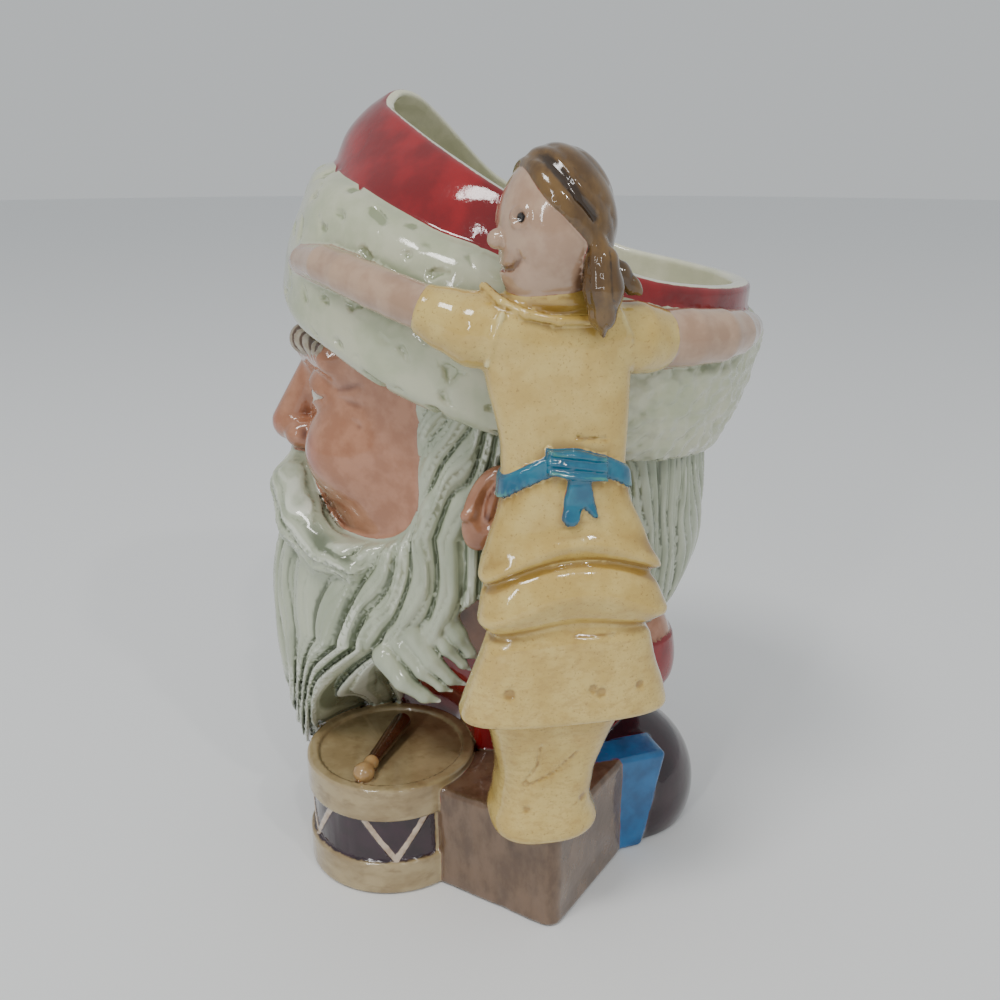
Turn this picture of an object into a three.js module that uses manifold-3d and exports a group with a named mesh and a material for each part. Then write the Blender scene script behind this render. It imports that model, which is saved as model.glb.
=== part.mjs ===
// A slip-cast toby jug, one hollow casting: a bearded man's head in a fur-trimmed cap,
// a doll that stands on a toy box as the handle, and a drum, a box, a block and a ball at the foot.
// The casting is described as a distance field, negative inside the clay. It is meshed, thinned out
// to the fewest triangles that still hold the form, and cut flat below.
// Millimetres, +Z up, origin in the middle of the flat underside, the handle towards +X.
import * as THREE from 'three';
import Module from 'manifold-3d';
import { mergeVertices } from 'three/addons/utils/BufferGeometryUtils.js';

// Driving dimensions
const HEIGHT = 190;
const HEAD_TURN = -15;          // degrees: the face looks towards -Y, turned this much about Z
const CELL = 1.75;              // the grid that the field is meshed on
const TRIANGLES = 9700;         // the most that the finished casting may have
const CUT_DEPTH = 3;            // the field runs on this far below the flat underside
const INSIDE_WEIGHT = 0.2;      // how much the smooth inside counts when triangles are spent
const FINE_WEIGHT = 3;          // and the small forms of the doll's head
const LOW_CORNER = [-58, -72, -CUT_DEPTH - 1.7];
const HIGH_CORNER = [76, 72, 196];
const LIP_ROUND = 1.6;          // rounding of the mouth's rim

// Outlines by height: [height, front, back, half width], front and back along the head's own Y
const COAT = [
  [-8, -38, 28, 34], [4, -42, 29, 35.5], [15, -47, 30, 37], [30, -50, 34, 38.5], [36, -50.5, 41, 38.5],
  [43, -51, 46, 38.5],
  [55, -49, 45.5, 37], [63, -46, 42, 35], [72, -40, 37, 31], [84, -36, 32, 28],
];
const SKIN = [
  [68, -36, 30, 26], [78, -42, 38, 31], [88, -45, 42, 34], [100, -46.5, 45.5, 35.5],
  [115, -46.8, 47, 36.5], [130, -46.5, 49, 38.5], [145, -45, 52, 42], [152, -44, 53, 43],
];
const HAIR = [
  [12, -47, 38, 24], [21, -54, 40, 30], [33, -57.5, 41, 35.5], [50, -59.5, 42, 38.5], [63, -60, 43, 38.5],
  [70, -60, 47, 37.8], [80, -58, 50.5, 37.5], [92, -53.5, 51.5, 37.5], [103, -50, 51.2, 37.8],
  [115, -48.5, 50.5, 38.3], [130, -47, 50, 39.5],
];
const CROWN = [
  [136, -44, 59, 45], [150, -44.8, 60, 45], [160, -44.5, 60, 43], [168, -42, 60, 40], [173.7, -38.8, 60, 35.5],
  [180.6, -35.7, 60, 27], [185.6, -31, 60, 21], [188.9, -26, 60, 15], [190.8, -22, 60, 9], [193, -17, 60, 2],
];
const CAVITY = [
  [6, -20, 18, 18], [8, -29, 24, 26], [13, -35, 26.5, 30], [22, -40, 28, 32], [30, -45, 30.5, 33],
  [36, -48, 36.5, 33.2], [43, -49.7, 41, 33.5], [60, -51.5, 38, 31.5], [72, -49, 36.5, 28.5], [84, -44, 40, 29.5], [95, -41, 42, 30.5],
  [110, -41, 43, 31.5], [128, -41, 46.5, 34.5], [140, -40.5, 54, 40.5], [155, -40.3, 55.7, 40.2],
  [165, -38.7, 55.7, 37], [173, -34.8, 55.7, 31.5], [180, -31.5, 55.7, 23.2], [185, -27.4, 55.7, 17],
  [188.5, -22.3, 55.7, 11], [191, -18, 55.7, 5.5], [200, -14, 55.7, 3],
];
// The rim of the mouth seen from the side: [place along Y, height], away from the handle and by it
const RIM_FAR = [
  [-40, 204], [-24, 192.8], [-17, 186], [-5, 171.5], [3.5, 166], [28, 152.6], [45, 149], [70, 146],
];
const RIM_NEAR = [
  [-40, 197], [-28, 188.4], [-15, 179.8], [-1, 171.5], [12, 164], [28, 153.4], [45, 149], [70, 146],
];
// On the handle's side the coat is narrower, which leaves the finger gap open down to the toys
const SLIM = { share: 1.9, full: 55, none: 86 };
const COLLAR_TOP = 54.5;        // height of the collar's edge
const COLLAR_PROUD = 0.8;

// The doll by height: [height, centre X, centre Y, half depth X, half width Y]
const LEGS = [
  [24, 48, 0.3, 9, 8.4], [26.6, 48, 0.5, 10.6, 11.4], [28.8, 48, 0.8, 11, 12.6], [31, 48, 0.7, 11, 12.3],
  [33.6, 48, 0.6, 10.7, 11.4], [36.4, 48, 0.6, 10.5, 11.1], [40, 48.2, 1, 10.4, 11.1],
  [43.4, 48.5, 1.2, 10.1, 11.4], [47, 48.8, 1.6, 9.8, 12.4], [50.8, 49.2, 1.9, 9.8, 13.5],
  [58, 50.4, 2.4, 10.4, 15.6],
];
const DRESS = [
  [60, 57, 3.1, 9.4, 23.6], [67, 57.6, 3.3, 8.5, 21.6], [71.6, 58.1, 3.2, 7.7, 20], [76.2, 58.5, 3.4, 7.1, 18.6],
  [80.8, 58.9, 3.6, 6.4, 17.6], [82.4, 59.3, 3.8, 6.8, 18.4], [84.9, 60, 4.1, 7.1, 19.8],
  [88, 59.8, 3.8, 6.8, 19.4], [91.9, 59, 3.3, 6, 18.2], [94.3, 59.7, 3.4, 6.4, 19], [97.7, 59, 2.5, 6.1, 17.6],
  [100, 58.8, 2.4, 6, 16.6], [103.2, 58.7, 2.1, 5.9, 15.3], [106.4, 58.6, 2, 5.8, 14],
  [110, 58.4, 2, 5.8, 13.2], [113.9, 58.2, 2, 5.6, 12.8], [117, 58, 1.9, 5.5, 12.7], [123, 58, 1.8, 5.6, 13],
  [135, 57.6, 0.5, 6.4, 14.5], [142, 57.2, 0.2, 6.7, 14.8], [147, 57, 0.1, 6.2, 13.4], [151, 57, 0, 5, 9.5],
];
// The hems of the dress arch up in the middle of the back: [height, lift]
const HEM_LIFT = [[78, 0], [84, 3], [91, 6.2], [98, 6.2], [102, 7.3], [110, 4], [120, 0]];
// Arms and sleeves through points of [x, y, z, radius]
const FRONT_ARM = [
  [50.5, -23.5, 146.9, 4.7], [45, -29, 148.8, 4.6], [40, -33.5, 150.4, 4.5], [33.5, -38.3, 152.2, 4.4],
  [26, -42.4, 153.4, 4.2], [14, -46.6, 153.4, 3.2], [9, -47.8, 152.6, 2.4],
];
const BACK_ARM = [
  [51, 22, 139.9, 6.1], [49.8, 30, 139.8, 6], [46.6, 37.4, 139.4, 5.7], [41.8, 43.2, 139, 5],
  [36, 47.6, 138.5, 4.3], [28.6, 52.2, 137.8, 3.6], [23, 55.4, 137.2, 2.6],
];
const FRONT_SLEEVE = [
  [56.5, -9, 143, 7.2], [54.5, -15, 143.6, 7.4], [52, -20.3, 145.4, 6.2], [49.8, -25, 147.2, 4.9],
];
const BACK_SLEEVE = [
  [56.5, 9, 142.5, 6.6], [54.3, 16.5, 141, 7.2], [52.6, 19.6, 140.3, 6.9], [51, 22.6, 139.8, 6.4],
];

// Fur band round the cap
const BAND = {
  y: 5.4, z: 140.7, tilt: 18.8, halfX: 49, halfY: 55.4, halfHeight: 17.4, depth: 12, bulge: 2.2, sag: 4.4, edge: 5,
};
// Toys at the foot. A block's lean is how far its foot is shifted.
const DRUM = {
  x: 15, y: -31.7, radius: 20.3, height: 30, hoopHeight: 9, hoopProud: 1.3, headSunk: 1, hoopWidth: 1.8,
};
const BOX = { x: 30.8, y: 2.3, halfA: 18.75, halfB: 17.5, height: 27.5, turn: 137, corner: 3.5, edge: 2, lean: 0 };
const BLOCK = { x: 23.2, y: 27.6, halfA: 5.5, halfB: 11, height: 27.5, turn: 20, corner: 1.5, edge: 2, lean: 6 };
const BALL = { x: 7.1, y: 31.5, z: 8.9, radius: 21.9 };
const EYE = { x: 15.2, y: -37.5, z: 122, radius: 6.6 };
const EAR = { x: 40.6, y: 0.5, z: 101.5 };
const DOLL_HEAD = { x: 57.8, y: -0.7, z: 162.8, halfX: 11, halfY: 10.8, halfZ: 13.8 };
const BELT = { height: 118.4, middle: 2.5, droop: 0.028, halfWidth: 2, proud: 0.9 };
const HAIR_RADIUS = 46;         // turns an angle round the head into a length
const WIDE_LOCK = 8;            // widths of the wide and the narrow locks of hair
const NARROW_LOCK = 3.8;

// Small helpers for distances
const FAR = 30;
const rad = THREE.MathUtils.degToRad;
const mixNumbers = THREE.MathUtils.lerp;
const clampNumber = THREE.MathUtils.clamp;

function join(a, b, blend) {
  const h = Math.max(blend - Math.abs(a - b), 0) / blend;
  return Math.min(a, b) - h * h * blend * 0.25;
}

function overlap(a, b, blend) {
  return -join(-a, -b, blend);
}

function turned(x, y, angle) {
  const c = Math.cos(rad(angle));
  const s = Math.sin(rad(angle));
  return [x * c + y * s, y * c - x * s];
}

function smoothStep(from, to, value) {
  const t = clampNumber((value - from) / (to - from), 0, 1);
  return t * t * (3 - 2 * t);
}

// Values of a table of rows between its heights, on a smooth curve through the rows
function makeOutline(rows) {
  const first = rows[0][0];
  const step = 0.5;
  const count = Math.ceil((rows[rows.length - 1][0] - first) / step) + 1;
  const slopeAt = (i, column) => {
    const before = rows[Math.max(i - 1, 0)];
    const after = rows[Math.min(i + 1, rows.length - 1)];
    return (after[column] - before[column]) / (after[0] - before[0]);
  };
  const columns = [];
  for (let column = 1; column < rows[0].length; column++) {
    const values = new Float64Array(count);
    for (let n = 0; n < count; n++) {
      const height = Math.min(first + n * step, rows[rows.length - 1][0]);
      const i = Math.max(0, rows.findLastIndex((row, k) => row[0] <= height && k < rows.length - 1));
      const span = rows[i + 1][0] - rows[i][0];
      const t = (height - rows[i][0]) / span;
      const u = 1 - t;
      values[n] = u * u * (1 + 2 * t) * rows[i][column] + t * t * (3 - 2 * t) * rows[i + 1][column]
        + t * u * u * span * slopeAt(i, column) - t * t * u * span * slopeAt(i + 1, column);
    }
    columns.push(values);
  }
  const result = new Float64Array(columns.length);
  return (height) => {
    const place = clampNumber((height - first) / step, 0, count - 1.001);
    const n = Math.floor(place);
    const t = place - n;
    for (let c = 0; c < result.length; c++) result[c] = mixNumbers(columns[c][n], columns[c][n + 1], t);
    return result;
  };
}

// Distance to an ellipse round the origin, near its outline
function ellipse(x, y, halfX, halfY) {
  const k = Math.hypot(x / halfX, y / halfY);
  const slope = Math.hypot(x / (halfX * halfX), y / (halfY * halfY));
  return slope < 1e-6 ? -Math.min(halfX, halfY) : (k - 1) * k / slope;
}

function ellipsoid(x, y, z, halfX, halfY, halfZ) {
  const k = Math.hypot(x / halfX, y / halfY, z / halfZ);
  const slope = Math.hypot(x / (halfX * halfX), y / (halfY * halfY), z / (halfZ * halfZ));
  return slope < 1e-6 ? -Math.min(halfX, halfY, halfZ) : (k - 1) * k / slope;
}

// A loft stacked from ellipses, from an outline of [front, back, half width]
function makeLoft(rows, bottom, top) {
  const outline = makeOutline(rows);
  return (x, y, z) => {
    const [front, back, half] = outline(z);
    const side = ellipse(x, y - (front + back) / 2, half, (back - front) / 2);
    return overlap(side, Math.max(bottom - z, z - top), 2);
  };
}

// A loft stacked from squarish rounds, from an outline of [centre X, centre Y, half X, half Y]
function makeFigureLoft(rows, bottom, top, rounding) {
  const outline = makeOutline(rows);
  const power = 2.8;
  return (x, y, z) => {
    const [centreX, centreY, halfX, halfY] = outline(z);
    const a = Math.abs(x - centreX) / halfX;
    const b = Math.abs(y - centreY) / halfY;
    const k = (a ** power + b ** power) ** (1 / power);
    const steep = Math.hypot((a ** (power - 1)) / halfX, (b ** (power - 1)) / halfY);
    const slope = steep / Math.max(k, 1e-6) ** (power - 1);
    const side = (k - 1) / Math.max(slope, 1 / Math.max(halfX, halfY));
    return overlap(side, Math.max(bottom - z, z - top), rounding);
  };
}

// A rod with round ends whose radius runs from one end to the other
function rod(x, y, z, from, to, radiusFrom, radiusTo) {
  const dx = to[0] - from[0];
  const dy = to[1] - from[1];
  const dz = to[2] - from[2];
  const along = ((x - from[0]) * dx + (y - from[1]) * dy + (z - from[2]) * dz) / (dx * dx + dy * dy + dz * dz);
  const t = clampNumber(along, 0, 1);
  const away = Math.hypot(x - from[0] - t * dx, y - from[1] - t * dy, z - from[2] - t * dz);
  return away - mixNumbers(radiusFrom, radiusTo, t);
}

// A chain of rods through points of [x, y, z, radius]
function chain(x, y, z, points, blend) {
  let distance = FAR;
  for (let i = 0; i + 1 < points.length; i++) {
    const piece = rod(x, y, z, points[i], points[i + 1], points[i][3], points[i + 1][3]);
    distance = join(distance, piece, blend);
  }
  return distance;
}

// Round ridges with sharp valleys between them, one ridge to each whole number
function locks(phase) {
  return Math.sqrt(Math.abs(Math.sin(Math.PI * phase)));
}

// The man's head, in its own frame: the face towards -Y
function slimmed(loft) {
  return (x, y, z) => {
    const share = x > 0 ? mixNumbers(SLIM.share, 1, smoothStep(SLIM.full, SLIM.none, z)) : 1;
    return loft(x * share, y, z);
  };
}

// The head slopes in above the drum, which leaves the whole drum head free
const DRUM_PLACE = turned(DRUM.x, DRUM.y, HEAD_TURN);

function fromDrum(x, y) {
  return turned(x - DRUM_PLACE[0], y - DRUM_PLACE[1], -HEAD_TURN);
}

function drumClearance(x, y, z) {
  const [forward, across] = fromDrum(x, y);
  const reach = DRUM.radius + DRUM.hoopProud;
  const farEdge = -Math.sqrt(Math.max(reach ** 2 - across ** 2, 0));
  const beside = Math.max(Math.abs(across) - reach + 2, 0);
  return 0.7 * (DRUM.height + 0.95 * (forward - farEdge) - 3 * beside - z);
}

const skinLoft = slimmed(makeLoft(SKIN, 66, 150));
const wholeCoat = slimmed(makeLoft(COAT, -20, 84));
const hairLoft = makeLoft(HAIR, 8, 132);
const crownLoft = makeLoft(CROWN, 134, 196);
const wholeCavity = slimmed(makeLoft(CAVITY, 6.5, 210));
const farRim = makeOutline(RIM_FAR);
const nearRim = makeOutline(RIM_NEAR);

function rimHeight(x, y) {
  return mixNumbers(farRim(y)[0], nearRim(y)[0], smoothStep(-8, 10, x));
}

function coat(x, y, z) {
  const cloth = overlap(wholeCoat(x, y, z), drumClearance(x, y, z) + 2.5, 6);
  return cloth - COLLAR_PROUD * smoothStep(COLLAR_TOP + 0.5, COLLAR_TOP - 0.5, z);
}

function cavityLoft(x, y, z) {
  return overlap(wholeCavity(x, y, z), drumClearance(x, y, z) + 5.8, 6);
}

function face(x, y, z) {
  const side = Math.abs(x);
  let clay = skinLoft(x, y, z);
  if (y > -10) return clay;
  const cheek = ellipsoid(side - 18, y + 33, z - 107.5, 10.5, 11.5, 9.5);
  clay = join(clay, cheek, 11);
  const brow = rod(side, y, z, [5, -45.2, 130.5], [23, -37.5, 131], 4.6, 3.4);
  clay = join(clay, brow, 4);
  const socket = ellipsoid(side - EYE.x, y + 49, z - EYE.z, 8, 7.5, 5.6);
  clay = overlap(clay, -socket, 4);
  const eyeball = Math.hypot(side - EYE.x, y - EYE.y, z - EYE.z) - EYE.radius;
  clay = join(clay, eyeball, 0.6);
  const lid = Math.max(eyeball - 0.8, EYE.z + 2 - z);
  clay = join(clay, lid, 0.8);
  const bridge = rod(x, y, z, [0, -45, 129], [0, -53.8, 110.2], 3.2, 5);
  const wing = ellipsoid(side - 5.4, y + 49.3, z - 108, 3.6, 4.8, 3.6);
  clay = join(clay, join(bridge, wing, 3), 3);
  return clay;
}

function ear(x, y, z) {
  const side = Math.abs(x) - EAR.x;
  const up = z - EAR.z;
  const lean = y - EAR.y - up * 0.25;
  const shell = ellipsoid(side, lean, up, 3.2, 5.6, 10);
  const hollow = ellipsoid(side - 3.6, lean, up - 2, 2.2, 3, 6);
  return overlap(shell, -hollow, 1.2);
}

// Bushy brows, a drooping moustache and the lower lip between moustache and beard
function browHair(x, y, z) {
  const side = Math.abs(x);
  return chain(side, y, z, [[6, -47.6, 131, 2.2], [14, -45.2, 134, 3.2], [23.5, -38.5, 132.5, 2]], 1.5);
}

function moustache(x, y, z) {
  const side = Math.abs(x);
  const points = [
    [2, -50.5, 101, 4], [9, -51.5, 96, 5.8], [17.5, -47.5, 89, 6.2], [25.5, -40, 84, 4.8],
    [31.5, -32.5, 83, 2.4],
  ];
  const sweep = chain(side, y, z, points, 2.5);
  const groove = locks((z + side * 0.75) / 5.2);
  return sweep - (groove - 0.6) * 0.9;
}

function lip(x, y, z) {
  return ellipsoid(x, y + 50, z - 91, 8.5, 5.5, 3.4);
}

// Locks of hair that run down from the cap and wave as they go
function hairRelief(x, y, z) {
  const beside = x > 0 ? smoothStep(DRUM.radius + 7, DRUM.radius - 3, Math.abs(fromDrum(x, y)[1])) : 0;
  const [outX, outY] = turned(Math.max(62 - z, 0) * beside, 0, HEAD_TURN);
  const turn = Math.atan2(x + outX, -(y + outY + 2));
  const along = Math.abs(turn) * HAIR_RADIUS;
  const front = smoothStep(-2, -16, y);
  const wave = mixNumbers(2.2 * Math.sin(z / 9 + along / 14), 3.6 * Math.sin(z / 10.5 + along / 11), front);
  const lean = mixNumbers(0.12 * (z - 60), -0.1 * (z - 60), front);
  const wide = locks((along + wave + lean) / WIDE_LOCK);
  const narrow = locks((along + wave * 1.3 + lean) / NARROW_LOCK + 0.3);
  return (wide - 0.55) * mixNumbers(1.4, 2.4, front) + (narrow - 0.6) * 0.6;
}

// Where the hair stops: the open face, the neck between beard and back hair, and the lower edge
function hairLimits(x, y, z) {
  const open = overlap(y + 15.5, 88 - z, 16);
  const rear = y + 0.24 * Math.max(25 - Math.abs(x), 0);
  const lowerEdge = y < 0 ? 74 + 1.05 * y - 24 * smoothStep(-19.5, -23.5, rear) : 63;
  const turn = Math.atan2(Math.abs(x), -(y + 2));
  const tips = 1.4 * Math.sin(turn * HAIR_RADIUS / WIDE_LOCK * 2 * Math.PI + z * 0.1);
  const neck = Math.hypot((y + 1) / 0.55, z - 62) - 15;
  return overlap(overlap(-open, lowerEdge + tips - z, 2), -neck, 3);
}

// Pointed locks that curl back from the lower edge of the beard
const LOCK_TIPS = [
  [[34, -25, 61, 3.4], [36.4, -20.5, 56, 2.6], [37, -15.5, 52.4, 1.8], [36.4, -12, 51, 0.9]],
  [[33.5, -18, 67, 3.4], [36, -13.6, 61.4, 2.4], [36.2, -9.2, 56.8, 1.7], [35, -6.4, 55, 0.9]],
  [[33.5, -11, 73, 3], [35, -7.4, 67.6, 2.2], [34.2, -4.8, 63, 1.6], [32.8, -3.2, 61.2, 0.9]],
];

function hair(x, y, z) {
  const free = overlap(hairLoft(x, y, z), drumClearance(x, y, z), 9);
  const mass = overlap(free - hairRelief(x, y, z), hairLimits(x, y, z), 3);
  if (z < 40 || z > 80 || y > 10) return mass;
  return LOCK_TIPS.reduce((clay, points) => join(clay, chain(Math.abs(x), y, z, points, 1), 1), mass);
}

// Shallow dents all over the fur
function fur(x, y, z) {
  const turn = Math.atan2(x, -y) * 50;
  const rows = Math.sin(z / 1.9 + Math.sin(turn / 7)) * Math.sin(turn / 2.1 + Math.sin(z / 4));
  return 0.5 * rows + 0.35 * Math.sin(turn / 5 + z / 3);
}

function band(x, y, z) {
  const tilt = rad(BAND.tilt);
  const dy = y - BAND.y;
  const dz = z - BAND.z;
  const flatY = dy * Math.cos(tilt) - dz * Math.sin(tilt);
  const up = dy * Math.sin(tilt) + dz * Math.cos(tilt) + BAND.sag * (x / BAND.halfX) ** 2;
  const swell = BAND.bulge * (1 - (up / BAND.halfHeight) ** 2);
  const ring = ellipse(x, flatY, BAND.halfX, BAND.halfY) - swell;
  const qr = Math.abs(ring + BAND.depth / 2) - BAND.depth / 2 + BAND.edge;
  const qz = Math.abs(up) - BAND.halfHeight + BAND.edge;
  const section = Math.hypot(Math.max(qr, 0), Math.max(qz, 0)) + Math.min(Math.max(qr, qz), 0) - BAND.edge;
  return section - 0.6 * fur(x, y, up);
}

function headAndCap(x, y, z) {
  let clay = join(coat(x, y, z), face(x, y, z), 4);
  clay = join(clay, lip(x, y, z), 2);
  clay = join(clay, hair(x, y, z), 2);
  clay = join(clay, ear(x, y, z), 1);
  clay = join(clay, moustache(x, y, z), 1);
  clay = join(clay, browHair(x, y, z), 1);
  clay = join(clay, crownLoft(x, y, z), 1.5);
  return join(clay, band(x, y, z), 1.2);
}

// Toys at the foot, in the jug's frame
function drum(x, y, z) {
  const radius = Math.hypot(x - DRUM.x, y - DRUM.y);
  const upper = Math.abs(z - DRUM.height + DRUM.hoopHeight / 2);
  const lower = z - DRUM.hoopHeight / 2;
  const panel = Math.max(radius - DRUM.radius, z - DRUM.height + DRUM.headSunk);
  const hoops = Math.max(radius - DRUM.radius - DRUM.hoopProud, Math.min(upper, lower) - DRUM.hoopHeight / 2);
  const head = Math.max(radius - DRUM.radius + DRUM.hoopWidth, DRUM.height - DRUM.headSunk - z);
  return join(panel, overlap(hoops, -head, 0.8), 0.6);
}

function drumstick(x, y, z) {
  const shaft = rod(x, y, z, [28, -39.3, 31], [9, -28.2, 32.2], 1.5, 2.2);
  const tip = Math.hypot(x - 28.4, y + 39.5, z - 31) - 2.7;
  return join(shaft, tip, 0.8);
}

function standingBlock(x, y, z, block) {
  const [a, straightB] = turned(x - block.x, y - block.y, block.turn);
  const b = straightB + block.lean * (1 - z / block.height);
  const qa = Math.abs(a) - block.halfA + block.corner;
  const qb = Math.abs(b) - block.halfB + block.corner;
  const side = Math.hypot(Math.max(qa, 0), Math.max(qb, 0)) + Math.min(Math.max(qa, qb), 0) - block.corner;
  return overlap(side, z - block.height, block.edge);
}

function toys(x, y, z) {
  if (z > 60) return FAR;
  let clay = join(drum(x, y, z), drumstick(x, y, z), 0.8);
  clay = join(clay, standingBlock(x, y, z, BOX), 0.8);
  clay = join(clay, standingBlock(x, y, z, BLOCK), 0.8);
  const ball = Math.hypot(x - BALL.x, y - BALL.y, z - BALL.z) - BALL.radius;
  return join(clay, ball, 0.8);
}

// The doll, in the jug's frame: its back towards +X, its face towards -Y
const legsLoft = makeFigureLoft(LEGS, 25, 62, 3);
const straightDress = makeFigureLoft(DRESS, 60.5, 152, 2.4);
const hemLift = makeOutline(HEM_LIFT);

function dressLoft(x, y, z) {
  const middle = Math.max(1 - ((y - 4) / 19) ** 2, 0);
  return straightDress(x, y, z - hemLift(z)[0] * middle * smoothStep(56, 62, x));
}

// A sleeve cut off flat at the cuff, past its last point
function sleeve(x, y, z, points) {
  const [before, last] = points.slice(-2);
  const way = new THREE.Vector3(...last).sub(new THREE.Vector3(...before)).normalize();
  const beyond = new THREE.Vector3(x - last[0], y - last[1], z - last[2]).dot(way);
  const radius = last[3];
  const end = [last[0] + way.x * radius, last[1] + way.y * radius, last[2] + way.z * radius, radius];
  return overlap(chain(x, y, z, [...points, end], 2), beyond, 0.8);
}

function dollBody(x, y, z) {
  let clay = join(legsLoft(x, y, z), dressLoft(x, y, z), 0.8);
  const collar = Math.hypot(Math.max(Math.hypot((x - 57) / 0.72, y) - 7.5, 0), (z - 150.2) / 0.8) - 2.6;
  clay = join(clay, collar, 1);
  const neck = rod(x, y, z, [57, 0, 148], [57.5, 0, 158], 5.6, 5.6);
  return join(clay, neck, 1.5);
}

function dollArms(x, y, z) {
  if (z < 120) return FAR;
  const sleeves = join(sleeve(x, y, z, FRONT_SLEEVE), sleeve(x, y, z, BACK_SLEEVE), 1);
  const arms = join(chain(x, y, z, FRONT_ARM, 2), chain(x, y, z, BACK_ARM, 2), 1);
  return join(sleeves, arms, 0.6);
}

function dollHead(x, y, z) {
  const dx = x - DOLL_HEAD.x;
  const dy = y - DOLL_HEAD.y;
  const dz = z - DOLL_HEAD.z;
  let clay = ellipsoid(dx, dy - 0.6, dz, DOLL_HEAD.halfX, DOLL_HEAD.halfY, DOLL_HEAD.halfZ);
  clay = join(clay, Math.hypot(dx - 1.5, dy + 11, dz + 1.8) - 1.9, 0.8);
  const capEdge = overlap(-dy - 3.5 - 0.35 * dz, dz - 20, 4);
  const cap = overlap(ellipsoid(dx, dy - 0.9, dz - 0.8, 11.9, 11.2, 14.2), capEdge, 1);
  clay = join(clay, cap, 0.5);
  const nearPoints = [[66.6, 4.6, 162, 2], [67.6, 5.8, 157.5, 3], [67.8, 6.3, 152.5, 3.8], [66.6, 6.8, 146, 1.8]];
  const farPoints = [[56, 9.6, 158, 2], [57, 12.6, 153.6, 2.4], [57.4, 15.2, 151, 1.4]];
  const tails = join(chain(x, y, z, nearPoints, 1.5), chain(x, y, z, farPoints, 1.5), 1);
  return join(clay, tails, 0.8);
}

function sash(x, y, z) {
  const onDress = dressLoft(x, y, z);
  const beltHeight = BELT.height - BELT.droop * (y - BELT.middle) ** 2;
  const belt = Math.max(onDress - BELT.proud, Math.abs(z - beltHeight) - BELT.halfWidth);
  if (x < 58) return belt;
  const bow = Math.max(onDress - 2, Math.abs(y - 3.2) - 6.1, Math.abs(z - 118) - 2.8);
  const tail = Math.max(onDress - 1.2, Math.abs(y - 3.2) - 2.4, Math.abs(z - 111.5) - 4.6);
  return join(belt, join(bow, tail, 0.6), 0.5);
}

function doll(x, y, z) {
  if (x < -6) return FAR;
  const body = dollBody(x, y, z);
  const figure = join(join(body, dollArms(x, y, z), 1.2), dollHead(x, y, z), 0.8);
  return join(figure, sash(x, y, z), 0.4);
}

// The whole casting: the vessel is hollowed and its mouth cut before the handle joins it
function jugField(x, y, z) {
  const [headX, headY] = turned(x, y, HEAD_TURN);
  let clay = join(headAndCap(headX, headY, z), toys(x, y, z), 1);
  clay = overlap(clay, -cavityLoft(headX, headY, z), 1);
  clay = overlap(clay, z - rimHeight(headX, headY), LIP_ROUND);
  return Math.max(join(clay, doll(x, y, z), 1), -CUT_DEPTH - z);
}

// The field's zero surface, from a grid of cubes that are each split into six tetrahedra, which
// always gives a closed surface. Returns flat arrays of points and of triangles.
const CORNERS = [[0, 0, 0], [1, 0, 0], [0, 1, 0], [1, 1, 0], [0, 0, 1], [1, 0, 1], [0, 1, 1], [1, 1, 1]];
const TETRAHEDRA = [[0, 1, 3, 7], [0, 3, 2, 7], [0, 2, 6, 7], [0, 6, 4, 7], [0, 4, 5, 7], [0, 5, 1, 7]];

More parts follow.
